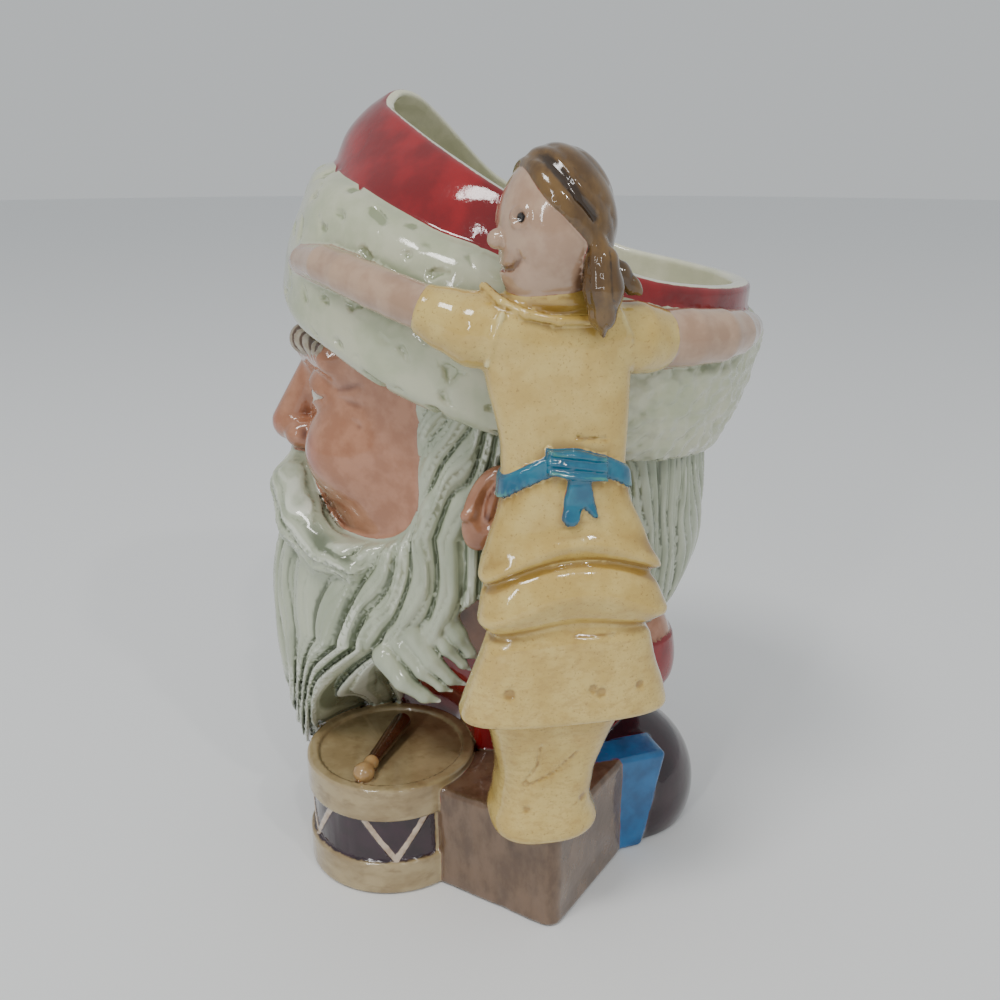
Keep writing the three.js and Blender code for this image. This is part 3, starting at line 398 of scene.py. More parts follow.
def brow_hair(x, y, z):
    side = np.abs(x)
    points = [[6, -47.6, 131, 2.2], [14, -45.2, 134, 3.2], [23.5, -38.5, 132.5, 2]]
    tufts = ridges(x / 2.4 + z / 7 + 0.6 * wander(x / 5, z / 5))
    return chain(side, y, z, points, 1.5) - 0.8 * (tufts - 0.6)


def moustache(x, y, z):
    side = np.abs(x)
    points = [
        [2, -50.5, 101, 4], [9, -51.5, 96, 5.8], [17.5, -47.5, 89, 6.2], [25.5, -40, 84, 4.8],
        [31.5, -32.5, 83, 2.4],
    ]
    across = z + side * 0.75
    along = side - z * 0.75
    wide = ridges(across / 4.6 + 0.5 * wander(across / 9, along / 14))
    fine = ridges(across / 1.7 + 0.7 * wander(across / 6 + 9, along / 8))
    return chain(side, y, z, points, 1) - 0.8 * (wide - 0.6) - 0.35 * (fine - 0.6)


def lip(x, y, z):
    return ellipsoid(x, y + 50, z - 91, 8.5, 5.5, 3.4)


# Hair and beard
HAIR_AROUND = 46                      # radius that turns an angle round the head into a length
WIDE_LOCKS = 44                       # wide and narrow locks that fit round the head
NARROW_LOCKS = 120


def hair_flow(x, y, z):
    """Round the head from 0 to 1, along locks that wave as they run down, and how much in front"""
    across = from_drum(x, y)[1]
    recess = np.maximum(62 - z, 0) * smooth_step(DRUM["radius"] + 7, DRUM["radius"] - 3, np.abs(across))
    out_x, out_y = turned(recess, 0, HEAD_TURN)
    out_x, out_y = np.where(x > 0, x + out_x, x), np.where(x > 0, y + out_y, y)
    turn = np.arctan2(out_x, -(out_y + 2))
    along = np.abs(turn) * HAIR_AROUND
    front = smooth_step(16, -4, y)
    wave = mix(2.8 * np.sin(z / 10 + along / 14), 3.2 * np.sin(z / 12 + along / 13), front)
    lean = mix(0.12 * (z - 60), -0.2 * (z - 60) - 0.5 * np.maximum(z - 92, 0), front)
    place = turn / (2 * math.pi) + 0.5
    drift = 5 * wander(place * 14, z / 34, 14) + 1.4 * wander(place * 40, z / 20 + 5, 40)
    around = turn * HAIR_AROUND + np.sign(turn) * (wave + lean) + drift
    return around / (2 * math.pi * HAIR_AROUND) + 0.5, front


def hair_relief(x, y, z):
    around, front = hair_flow(x, y, z)
    uneven = 1 + 0.5 * wander(around * 30, z / 26 + 3, 30)
    split = 0.5 * wander(around * 36, z / 15 + 9, 36)
    wide = ridges(around * WIDE_LOCKS)
    narrow = ridges(around * NARROW_LOCKS + split)
    relief = (wide - 0.65) * mix(0.9, 2, front) * uneven
    return relief + (narrow - 0.6) * mix(0.8, 0.42, front)


def hair_limits(x, y, z):
    """Where the hair stops: the open face, the neck between beard and back hair, and the lower edge"""
    open_face = overlap(y + 15.5, 88 - z, 16)
    rear = y + 0.24 * np.maximum(25 - np.abs(x), 0)
    slope = 74 + 1.05 * y - 24 * smooth_step(-19.5, -23.5, rear)
    lower_edge = np.where(y < 0, slope, 63)
    turn = np.arctan2(np.abs(x), -(y + 2))
    tips = 1.4 * np.sin(turn * HAIR_AROUND / 9.5 * 2 * math.pi + z * 0.1)
    neck = length((y + 1) / 0.55, z - 62) - 15
    return overlap(overlap(-open_face, lower_edge + tips - z, 2), -neck, 3)


LOCK_TIPS = [
    [[34, -25, 61, 3.4], [36.4, -20.5, 56, 2.6], [37, -15.5, 52.4, 1.7], [36.4, -11.4, 50.6, 0.4]],
    [[34, -21, 64, 2.6], [36.4, -16, 58.6, 1.8], [36.4, -11.5, 54.6, 1.1], [35.4, -8.4, 53, 0.3]],
    [[33.5, -18, 67, 3.4], [36, -13.6, 61.4, 2.4], [36.2, -9.2, 56.8, 1.5], [34.8, -5.7, 54.6, 0.4]],
    [[33.5, -14, 70, 2.6], [35.6, -10, 64.6, 1.8], [35, -6.4, 60.2, 1.1], [33.6, -4.4, 57.8, 0.3]],
    [[33.5, -11, 73, 3], [35, -7.4, 67.6, 2.2], [34.2, -4.8, 63, 1.4], [32.4, -2.6, 60.4, 0.4]],
]


def lock_tips(x, y, z):
    """Pointed locks that curl back from the lower edge of the beard"""
    return join_all([chain(np.abs(x), y, z, points, 1) for points in LOCK_TIPS], 0.6)


def hair(x, y, z):
    mass = overlap(hair_loft(x, y, z), drum_clearance(x, y, z), 9)
    near = np.abs(mass) < 7
    mass[near] -= hair_relief(x[near], y[near], z[near])
    mass = overlap(mass, hair_limits(x, y, z), 3)
    return join(mass, only_near((-60, -40, 40), (60, 10, 80), lock_tips, x, y, z), 1)


# The cap
BAND = {
    "y": 5.4, "z": 140.7, "tilt": 18.8, "half_x": 49, "half_y": 55.4, "half_height": 17.4,
    "depth": 12, "bulge": 2.2, "sag": 4.4,
}
FUR_CELLS = 63


def fur(x, y, up):
    """Shallow dents all over the fur"""
    around = np.arctan2(x, -y) / (2 * math.pi) + 0.5
    small = wander(around * FUR_CELLS, up / 3.4, FUR_CELLS)
    large = wander(around * FUR_CELLS / 3, up / 11 + 5, FUR_CELLS // 3)
    rippled = smooth_step(10, 34, y)
    ripples = wander(around * 2 * FUR_CELLS, up / 2.6 + 7, 2 * FUR_CELLS)
    dents = 0.9 * smooth_step(0.25, 0.75, small) * (1 - rippled)
    return 0.5 * large - dents + 0.7 * rippled * ripples


def band(x, y, z):
    flat_y, up = turned(y - BAND["y"], z - BAND["z"], -BAND["tilt"])
    up = up + BAND["sag"] * (x / BAND["half_x"]) ** 2
    swell = BAND["bulge"] * (1 - (up / BAND["half_height"]) ** 2)
    ring = ellipse(x, flat_y, BAND["half_x"], BAND["half_y"]) - swell
    edge = 5
    across = np.abs(ring + BAND["depth"] / 2) - BAND["depth"] / 2 + edge
    height = np.abs(up) - BAND["half_height"] + edge
    outside = length(np.maximum(across, 0), np.maximum(height, 0))
    section = outside + np.minimum(np.maximum(across, height), 0) - edge
    near = np.abs(section) < 6
    section[near] -= fur(x[near], flat_y[near], up[near])
    return section


# The toys at the foot, in the jug's frame
def drum_cords(x, y, z):
    """Distance to the cords that zigzag between the hoops"""
    turn = np.degrees(np.arctan2(y - DRUM["y"], x - DRUM["x"]))
    phase = (turn - DRUM["cord_turn"]) / DRUM["cord_period"]
    off = np.abs(phase - np.round(phase))
    line = DRUM["hoop_height"] + 0.4 + DRUM["cord_rise"] * off
    slope = DRUM["cord_rise"] / (math.radians(DRUM["cord_period"]) * DRUM["radius"])
    return np.abs(z - line) / math.hypot(1, slope)


def drum(x, y, z):
    radius = length(x - DRUM["x"], y - DRUM["y"])
    half_hoop = DRUM["hoop_height"] / 2
    upper = np.abs(z - DRUM["height"] + half_hoop)
    lower = z - half_hoop
    cords = 0.35 * smooth_step(DRUM["cord_width"] + 0.3, DRUM["cord_width"] - 0.3, drum_cords(x, y, z))
    panel = np.maximum(radius - DRUM["radius"] - cords, z - DRUM["height"] + DRUM["head_sunk"])
    hoops = overlap(radius - DRUM["radius"] - DRUM["hoop_proud"], np.minimum(upper, lower) - half_hoop, 0.8)
    head = np.maximum(radius - DRUM["radius"] + 1.8, DRUM["height"] - DRUM["head_sunk"] - z)
    return join(panel, overlap(hoops, -head, 0.8), 0.6)


def stick_shaft(x, y, z):
    return rod(x, y, z, [27, -38.7, 31.1], [9, -28.2, 32.4], 1.5, 2.4)


def stick_tip(x, y, z):
    neck = rod(x, y, z, [27.4, -38.9, 31], [25.2, -37.6, 31.2], 1.6, 1.9)
    return join(ellipsoid(x - 28.6, y + 39.6, z - 31, 2.7, 2.7, 2.4), neck, 0.8)


def standing_block(x, y, z, block):
    """A block with rounded edges, whose foot is shifted by its lean"""
    a, b = turned(x - block["x"], y - block["y"], block["turn"])
    b = b + block["lean"] * (1 - z / block["height"])
    qa = np.abs(a) - block["half_a"] + block["corner"]
    qb = np.abs(b) - block["half_b"] + block["corner"]
    side = length(np.maximum(qa, 0), np.maximum(qb, 0)) + np.minimum(np.maximum(qa, qb), 0)
    return overlap(side - block["corner"], z - block["height"], block["edge"])


def box(x, y, z):
    """The toy box has slightly uneven sides"""
    uneven = 0.22 * wander(x / 9 + y / 14, z / 8) + 0.1 * wander(x / 3 + y / 3.5, z / 4 + 8)
    return standing_block(x, y, z, BOX) - uneven


def blue_block(x, y, z):
    return standing_block(x, y, z, BLOCK)


def ball(x, y, z):
    return length(x - BALL["x"], y - BALL["y"], z - BALL["z"]) - BALL["radius"]


# The doll, in the jug's frame: its back towards +X, its face towards -Y
legs_loft = make_figure_loft(LEGS, 25, 62, 3)
straight_dress = make_figure_loft(DRESS, 60.5, 152, 2.4)
hem_lift = make_outline(HEM_LIFT)


HEM_FOLDS = [[80.6, 1.1, 1.2], [84.6, 1.6, -0.5], [91.5, 1, 1], [94.6, 1.4, -0.3]]


def dress_loft(x, y, z):
    """The dress, with a groove under each hem and a rounded fold over it: [height, width, depth]"""
    middle = np.maximum(1 - ((y - 4) / 19) ** 2, 0)
    lifted = z - hem_lift(z)[0] * middle * smooth_step(56, 62, x)
    folds = sum(dent(lifted - height, width, depth) for height, width, depth in HEM_FOLDS)
    return straight_dress(x, y, lifted) + folds * smooth_step(56, 60, x)


NECKLINE = [
    [55, -13.6, 151.9, 0.9], [60.5, -11.2, 149.6, 0.9], [63.2, -7, 147.6, 0.9], [64.3, -1, 146.4, 0.9],
    [63.8, 5, 146.3, 0.9], [61.5, 11, 147.4, 0.9],
]
ARMHOLES = [
    [[62.3, -11.4, 147.6, 0.7], [62.4, -13, 143, 0.7], [60.6, -14.1, 137.5, 0.4]],
    [[61.4, 11.8, 146.8, 0.7], [62.2, 13.4, 142.5, 0.7], [60.4, 14.4, 137, 0.4]],
]
PITS = [
    [66, -10.3, 69.2, 1.3], [66.2, 7.4, 69.2, 1.1], [66.2, 9.2, 68.2, 1.2], [65.4, 18, 68.6, 1],
    [59.4, -9.6, 37.2, 0.9], [59.6, -4.9, 35.8, 0.9], [59.2, 8.4, 36.8, 1.1],
]
SCRATCHES = [
    [[58.6, -2.2, 52.4, 0], [58.3, -2.6, 47.4, 0], [58.4, -6.1, 41.8, 0]],
    [[59.2, 6.5, 50, 0], [58.5, 1, 45, 0], [58.4, -5.6, 41.8, 0]],
    [[63.5, 3, 123.4, 0], [63.2, 9.4, 122.6, 0]],
    [[65.3, 3, 81.4, 0], [64.6, 12.3, 80.7, 0]],
]
PAST_BACK = 9                         # how far the marks are sought in front of and behind the surface


def dress_marks(x, y, z):
    """Pits and scratches on the dress and legs, as distances across the surface"""
    marks = [length((x - px) / PAST_BACK, y - py, z - pz) - size for px, py, pz, size in PITS]
    for line in SCRATCHES:
        flat = [[px / PAST_BACK, py, pz, 0.28] for px, py, pz, _ in line]
        marks.append(chain(x / PAST_BACK, y, z, flat, 0.2))
    return np.minimum.reduce(marks)


def sleeve(x, y, z, points):
    """A sleeve cut off flat at the cuff, past its last point"""
    last = np.array(points[-1][:3])
    way = last - points[-2][:3]
    way = way / np.linalg.norm(way)
    beyond = (x - last[0]) * way[0] + (y - last[1]) * way[1] + (z - last[2]) * way[2]
    ends = points + [[*(last + way * points[-1][3]), points[-1][3]]]
    return overlap(chain(x, y, z, ends, 0.6), beyond, 0.8)


def dress(x, y, z):
    clay = join(legs_loft(x, y, z), dress_loft(x, y, z), 0.8)
    collar = length(np.maximum(length((x - 57) / 0.72, y) - 7.5, 0), (z - 150.2) / 0.8) - 2.6
    clay = join(clay, collar, 1)
    clay = join(clay, sleeve(x, y, z, FRONT_SLEEVE), 1)
    clay = join(clay, sleeve(x, y, z, BACK_SLEEVE), 1)
    seams = join_all([chain(x, y, z, line, 0.5) for line in ARMHOLES], 0.4)
    clay = join(clay, join(chain(x, y, z, NECKLINE, 0.6), seams, 0.4), 0.5)
    on_back = smooth_step(54, 58, x)
    return clay + on_back * 0.5 * smooth_step(0.5, -0.6, dress_marks(x, y, z))


def doll_arms(x, y, z):
    neck = rod(x, y, z, [57, 0, 148], [57.5, 0, 158], 5.6, 5.6)
    arms = join(chain(x, y, z, FRONT_ARM, 0.3), chain(x, y, z, BACK_ARM, 0.3), 1)
    return join(arms, neck, 0.5)


DOLL_HEAD = {"x": 57.8, "y": -0.7, "z": 162.8, "turn": 7, "half_x": 11, "half_y": 10.8, "half_z": 13.8}
DOLL_EYE = [6, -8.9, 2.4]             # from the middle of the head


def head_place(x, y, z):
    """Coordinates in the doll's head, with the face towards -Y"""
    flat_x, flat_y = turned(x - DOLL_HEAD["x"], y - DOLL_HEAD["y"], DOLL_HEAD["turn"])
    return flat_x, flat_y, z - DOLL_HEAD["z"]


def off_eye(side, y, z):
    """Distance across the face from the middle of the doll's eye"""
    offset = (side - DOLL_EYE[0], y - DOLL_EYE[1], z - DOLL_EYE[2])
    out = sum(a * b for a, b in zip(offset, DOLL_EYE)) / math.hypot(*DOLL_EYE)
    return np.sqrt(np.maximum(length(*offset) ** 2 - out ** 2, 0))


def doll_face(x, y, z):
    x, y, z = head_place(x, y, z)
    side = np.abs(x)
    clay = ellipsoid(x, y, z, DOLL_HEAD["half_x"], DOLL_HEAD["half_y"], DOLL_HEAD["half_z"])
    chin = ellipsoid(x, y + 5.4, z + 9, 4.5, 4.2, 3.6)
    clay = join(clay, chin, 4)
    clay = join(clay, length(x, y + 11.2, z + 1.8) - 1.9, 0.7)
    eye = off_eye(side, y, z)
    clay = clay + np.where(y < 0, dent(eye, 1, 1) - dent(eye - 1.8, 0.6, 0.45), 0)
    smile = chain(side, y, z, [[0, -9.8, -7.3, 0], [2.9, -9.3, -7, 0], [5.6, -8.7, -5.2, 0]], 0.4)
    corner = rod(side, y, z, [5.3, -9.2, -3.7], [6.6, -8, -5.8], 0, 0)
    return clay + dent(smile, 0.6, 0.8) + dent(corner, 0.6, 0.6) - dent(smile - 1.2, 0.7, 0.2)


def pigtail(x, y, z, points):
    strand = ridges(y / 2.2 + x / 5 + z / 16)
    return chain(x, y, z, points, 1.6) - 0.3 * (strand - 0.6)


def doll_hair(x, y, z):
    flat_x, flat_y, up = head_place(x, y, z)
    side = np.abs(flat_x)
    cap = ellipsoid(flat_x, flat_y - 0.3, up - 0.7, 11.9, 11.4, 14.4)
    parting = chain(side, flat_y, up, [
        [1, -6, 14, 0], [4.7, -4, 13, 0], [8.3, -2, 10, 0], [10.8, 0.4, 6, 0], [10.9, 3.4, 2.4, 0],
    ], 0.6)
    comb = ridges((flat_y + 0.8 * up) / 4.6 + 0.4 * wander(side / 8, up / 12))
    cap = cap + dent(parting, 0.9, 0.75) - 0.25 * (comb - 0.7)
    edge = overlap((0.6 - flat_y - up) * 0.707, -6.6 - flat_y, 3)
    cap = overlap(cap, edge, 0.8)
    near_tail = pigtail(x, y, z, [
        [66.6, 4.6, 162, 1.6], [67.6, 5.8, 157.5, 2.7], [67.8, 6.3, 152.5, 3.6], [67, 6.6, 147.6, 2.4],
        [66, 6.9, 143.6, 0.5],
    ])
    far_tail = pigtail(x, y, z, [
        [56, 9.6, 157.5, 1.6], [57, 12.6, 153.6, 2.2], [57.4, 15.2, 151.4, 1.3], [57.6, 17, 150.2, 0.4],
    ])
    return join(cap, join(near_tail, far_tail, 1), 0.7)


BELT = {"height": 118.4, "middle": 2.5, "droop": 0.028, "half_width": 2, "proud": 0.9}
BOW = {"y": 3.2, "z": 118, "tilt": -0.17, "half_y": 6.1, "half_z": 2.8, "proud": 2}
RIBBON_TAILS = [
    [[0, 3.2, 116, 1.5], [0, 2.7, 111, 1.7], [0, 2, 107.5, 1.7]],
    [[0, 4.2, 116, 1.5], [0, 4.7, 111.5, 1.6], [0, 7, 107.6, 0.5]],
]


def sash(x, y, z):
    """A belt with a folded bow and a forked tail, all lying on the dress"""
    on_dress = dress_loft(x, y, z)
    belt_height = BELT["height"] - BELT["droop"] * (y - BELT["middle"]) ** 2
    belt = overlap(on_dress - BELT["proud"], np.abs(z - belt_height) - BELT["half_width"], 0.6)
    dy = y - BOW["y"]
    dz = z - BOW["z"] - BOW["tilt"] * dy
    folds = 0.35 * np.cos(2 * math.pi * dz / 2.1)
    outline = np.maximum(np.abs(dy) - BOW["half_y"], np.abs(dz) - BOW["half_z"] - 0.35 * np.cos(dy / 1.7))
    bow = overlap(on_dress - BOW["proud"] - folds, outline, 0.8)
    tails = join_all([chain(x * 0, y, z, points, 1) for points in RIBBON_TAILS], 0.4)
    tail = overlap(on_dress - 1.1 - 0.25 * np.cos(z / 1.3), tails, 0.6)
    ribbon = join(bow, tail, 0.4)
    return join(belt, np.where(x > 58, ribbon, FAR), 0.4)


# The whole casting. Each form has a box round it, a group, and a blend with the group's earlier forms.
REGIONS = {
    "coat": (coat, (-50, -60, -6), (50, 60, 92), "head", 1),
    "face": (face, (-56, -72, 58), (56, 66, 160), "head", 4),
    "lip": (lip, (-20, -66, 78), (20, -36, 104), "head", 2),
    "hair": (hair, (-60, -76, 0), (60, 66, 142), "head", 2),
    "ear": (ear, (-54, -18, 82), (54, 20, 122), "head", 1),
    "moustache": (moustache, (-46, -70, 68), (46, -18, 114), "head", 2.5),
    "brow": (brow_hair, (-38, -62, 116), (38, -26, 148), "head", 1),
    "crown": (crown_loft, (-62, -62, 126), (62, 78, 204), "head", 1.5),
    "fur": (band, (-66, -68, 96), (66, 80, 186), "head", 1.2),
    "drum": (drum, (-14, -66, -6), (46, -4, 40), "foot", 1),
    "shaft": (stick_shaft, (-2, -52, 20), (38, -16, 42), "foot", 0.6),
    "tip": (stick_tip, (14, -52, 20), (40, -26, 42), "foot", 0.6),
    "box": (box, (-4, -34, -6), (64, 36, 40), "foot", 0.8),
    "block": (blue_block, (6, 6, -6), (46, 48, 42), "foot", 0.8),
    "ball": (ball, (-18, 4, -10), (42, 62, 46), "foot", 0.8),
    "dress": (dress, (26, -42, 16), (80, 42, 162), "doll", 1),
    "arms": (doll_arms, (-10, -62, 120), (74, 72, 168), "doll", 0.8),
    "doll_face": (doll_face, (38, -24, 140), (78, 20, 186), "doll", 0.8),
    "doll_hair": (doll_hair, (38, -22, 134), (80, 28, 188), "doll", 0.5),
    "sash": (sash, (44, -22, 96), (76, 28, 130), "doll", 0.4),
}


def region_distances(x, y, z):
    head_x, head_y = turned(x, y, HEAD_TURN)
    distances = {}
    for name, (shape, low, high, group, _) in REGIONS.items():
        place = (head_x, head_y, z) if group == "head" else (x, y, z)
        distances[name] = only_near(low, high, shape, *place)
    return distances


def join_group(distances, group):
    members = [name for name in REGIONS if REGIONS[name][3] == group]
    result = distances[members[0]]
    for name in members[1:]:
        result = join(result, distances[name], REGIONS[name][4])
    return result


def casting(x, y, z):
    """The vessel is hollowed and its mouth cut before the handle joins it"""
    distances = region_distances(x, y, z)
    head_x, head_y = turned(x, y, HEAD_TURN)
    clay = join(join_group(distances, "head"), join_group(distances, "foot"), 1)
    clay = overlap(clay, -cavity_loft(head_x, head_y, z), 1)
    clay = overlap(clay, z - rim_height(head_x, head_y), LIP_ROUND)
    clay = join(clay, join_group(distances, "doll"), 1)
    return overlap(clay, -z, FOOT_ROUND)


# Meshing
LOW = np.array([-58.0, -72.0, -3.0])
HIGH = np.array([78.0, 74.0, 196.0])
BLOCK_CELLS = 8                       # cells along a coarse block, and along one of its parts
PART_CELLS = 2
BLOCK_REACH = 14                      # values up to this much past a block's size are still searched,
PART_REACH = 6                        # since the field is steep in places


def grid_places(counts):
    return np.stack(np.meshgrid(*[np.arange(n) for n in counts], indexing="ij"), -1).reshape(-1, 3)


def evaluate(points):
    """The field at many points, in batches that fit the processor's cache"""
    batch = 60000
    parts = [casting(*points[n:n + batch].T) for n in range(0, len(points), batch)]
    return np.concatenate(parts) if parts else np.zeros(0)


def keep_near(corners, cells, reach):
    """The blocks of that many cells whose middle lies within reach of the surface"""
    middles = LOW + (corners + cells / 2) * CELL
    values = evaluate(middles)
    return corners[np.abs(values) < reach + cells * CELL * math.sqrt(3) / 2]


def split(corners, cells, parts):
    steps = grid_places([parts] * 3) * (cells // parts)
    return (corners[:, None, :] + steps[None]).reshape(-1, 3)


def sample_field():
    """The field on the nodes of a grid, filled in near the surface alone"""
    blocks = np.ceil((HIGH - LOW) / (CELL * BLOCK_CELLS)).astype(int)
    shape = blocks * BLOCK_CELLS + 1
    near = keep_near(grid_places(blocks) * BLOCK_CELLS, BLOCK_CELLS, BLOCK_REACH)
    near = keep_near(split(near, BLOCK_CELLS, BLOCK_CELLS // PART_CELLS), PART_CELLS, PART_REACH)
    known = np.zeros(shape, bool)
    for i, j, k in np.ndindex(PART_CELLS + 1, PART_CELLS + 1, PART_CELLS + 1):
        known[near[:, 0] + i, near[:, 1] + j, near[:, 2] + k] = True
    nodes = np.argwhere(known)
    values = np.full(shape, np.nan)
    values[known] = evaluate(LOW + nodes * CELL)
    return values


def cell_vertices(values):
    """One point in every cell that the surface passes through, at the mean of its edge crossings"""
    corner = [values[i:values.shape[0] - 1 + i, j:values.shape[1] - 1 + j, k:values.shape[2] - 1 + k]
              for i, j, k in np.ndindex(2, 2, 2)]
    inside = sum((c < 0).astype(np.int8) for c in corner)
    whole = ~np.isnan(sum(corner))
    cells = np.argwhere(whole & (inside > 0) & (inside < 8))
    at = [c[tuple(cells.T)] for c in corner]
    places = list(np.ndindex(2, 2, 2))
    total = np.zeros((len(cells), 3))
    count = np.zeros(len(cells))
    for a in range(8):
        for b in range(a + 1, 8):
            step = np.subtract(places[b], places[a])
            if np.abs(step).sum() != 1:
                continue
            crossed = (at[a] < 0) != (at[b] < 0)
            t = at[a][crossed] / (at[a][crossed] - at[b][crossed])
            total[crossed] += np.array(places[a]) + t[:, None] * step
            count[crossed] += 1
    return cells, LOW + (cells + total / count[:, None]) * CELL


def surface_quads(values, cells):
    """A quad round every grid edge that the surface crosses, facing out"""
    index = np.full(values.shape, -1)
    index[tuple(cells.T)] = np.arange(len(cells))
    quads = []
    for axis in range(3):
        along = np.moveaxis(values, axis, 0)
        a, b = along[:-1, 1:-1, 1:-1], along[1:, 1:-1, 1:-1]
        turned_index = np.moveaxis(index, axis, 0)
        for leaving in (True, False):
            crossed = (a < 0) & (b >= 0) if leaving else (a >= 0) & (b < 0)
            i, j, k = np.nonzero(crossed)
            ring = [(j, k), (j + 1, k), (j + 1, k + 1), (j, k + 1)]
            if leaving == (axis == 1):
                ring.reverse()
            quads.append(np.stack([turned_index[i, u, v] for u, v in ring], 1))
    quads = np.concatenate(quads)
    return quads[(quads >= 0).all(1)]


def gradient(points, step):
    """The field's slope along each axis at every point"""
    slopes = []
    for axis in range(3):
        offset = np.zeros(3)
        offset[axis] = step
        slopes.append((evaluate(points + offset) - evaluate(points - offset)) / (2 * step))
    return np.stack(slopes, 1)


def settle(points):
    """Moves the points onto the field's zero surface"""
    reach = 0.45 * CELL               # the farthest that one step may go
    slope = gradient(points, 0.2)
    steep = np.maximum((slope ** 2).sum(1), 0.2)
    for _ in range(2):
        move = -(evaluate(points) / steep)[:, None] * slope
        size = np.linalg.norm(move, axis=1, keepdims=True)
        points = points + move * np.minimum(1, reach / np.maximum(size, 1e-9))
    return points


def largest_shell(count, quads):
    """Marks the quads of the casting's one outer skin. Pockets between the forms are clay."""
    label = np.arange(count)
    while True:
        lowest = label[quads].min(1)
        before = label.copy()
        for side in range(4):
            np.minimum.at(label, quads[:, side], lowest)
        label = label[label]
        if (label == before).all():
            break
    of_quad = label[quads[:, 0]]
    return of_quad == np.bincount(of_quad).argmax()


def make_casting_mesh():
    values = sample_field()
    cells, points = cell_vertices(values)
    quads = surface_quads(values, cells)
    quads = quads[largest_shell(len(points), quads)]
    used, renumbered = np.unique(quads, return_inverse=True)
    points = settle(points[used])
    points[:, 2] = np.where(points[:, 2] < 0.05, 0, points[:, 2])
    mesh = bpy.data.meshes.new("glazed_jug")
    mesh.from_pydata(points * MM, [], renumbered.reshape(quads.shape))
    mesh.update()
    return mesh


def thin_out(piece, triangles):
    """Spends the triangles where the surface is carved"""
    count = sum(len(face.vertices) - 2 for face in piece.data.polygons)
    thinning = piece.modifiers.new("thin_out", "DECIMATE")
    thinning.ratio = min(1, triangles / count)
    evaluated = piece.evaluated_get(bpy.context.evaluated_depsgraph_get())
    thinned = bpy.data.meshes.new_from_object(evaluated)
    piece.modifiers.clear()
    thinned.validate()
    thinned.name = "glazed_jug"
    piece.data = thinned


# Camera, floor and lights
FOCAL_PIXELS = 1048
SENSOR = 36
PICTURE_PIXELS = 1000
CAMERA_PLACE = (0.2544, -0.0485, 0.177)
CAMERA_PITCH = 18.6
CAMERA_HEADING = 10.8


def add_camera():
    camera = bpy.data.objects.new("camera", bpy.data.cameras.new("camera"))
    camera.data.sensor_width = SENSOR
    camera.data.lens = SENSOR * FOCAL_PIXELS / PICTURE_PIXELS
    camera.data.clip_start = 0.01
    camera.location = CAMERA_PLACE
    pitch = math.radians(CAMERA_PITCH)
    heading = math.radians(CAMERA_HEADING)
    level = math.cos(pitch)
    forward = Vector((-level * math.cos(heading), level * math.sin(heading), -math.sin(pitch)))
    camera.rotation_euler = forward.to_track_quat("-Z", "Y").to_euler()
    bpy.context.scene.collection.objects.link(camera)
    bpy.context.scene.camera = camera


def srgb(red, green, blue):
    """A colour from 0 to 255 a channel, as the linear values that a shader takes"""
    def linear(value):
        value = value / 255
        return value / 12.92 if value <= 0.04045 else ((value + 0.055) / 1.055) ** 2.4
    return (linear(red), linear(green), linear(blue), 1)


FLOOR_RADIUS = 4
FLOOR_DROP = 0.0002                   # how far the floor lies under the foot
LIT_POINT = (0, 0, 0.09)
# Each light's place, width, height, power and colour
LIGHTS = {
    "key": [(0.5, -0.55, 1.25), 0.32, 0.32, 7, (1, 0.98, 0.95)],
    "strip": [(0.95, -0.75, 0.55), 0.05, 0.5, 2.6, (1, 1, 1)],
    "lamp_a": [(0.9, 0.42, 0.95), 0.05, 0.05, 1.8, (1, 0.98, 0.94)],
    "lamp_b": [(1.0, 0.12, 1.1), 0.05, 0.05, 1.8, (1, 0.98, 0.94)],
}


def add_light(name, place, width, height, energy, colour):
    light = bpy.data.lights.new(name, "AREA")
    light.shape = "RECTANGLE"
    light.size = width
    light.size_y = height
    light.energy = energy
    light.color = colour
    lamp = bpy.data.objects.new(name, light)
    lamp.location = place
    lamp.rotation_euler = (Vector(LIT_POINT) - Vector(place)).to_track_quat("-Z", "Y").to_euler()
    bpy.context.scene.collection.objects.link(lamp)


def add_stage():
    bpy.ops.mesh.primitive_circle_add(
        vertices=96, radius=FLOOR_RADIUS, fill_type="NGON", location=(0, 0, -FLOOR_DROP))
    floor = bpy.context.object
    floor.name = "floor"
    material = bpy.data.materials.new("floor")
    material.use_nodes = True
    shader = material.node_tree.nodes["Principled BSDF"]
    shader.inputs["Base Color"].default_value = srgb(236, 237, 238)
    shader.inputs["Roughness"].default_value = 0.55
    floor.data.materials.append(material)
    world = bpy.data.worlds.new("studio")
    world.use_nodes = True
    world.node_tree.nodes["Background"].inputs["Color"].default_value = srgb(222, 226, 228)
    world.node_tree.nodes["Background"].inputs["Strength"].default_value = 0.78
    bpy.context.scene.world = world
    for name, settings in LIGHTS.items():
        add_light(name, *settings)


add_camera()
add_stage()

# Paint
CRISP = 0.12                          # half width of a painted edge


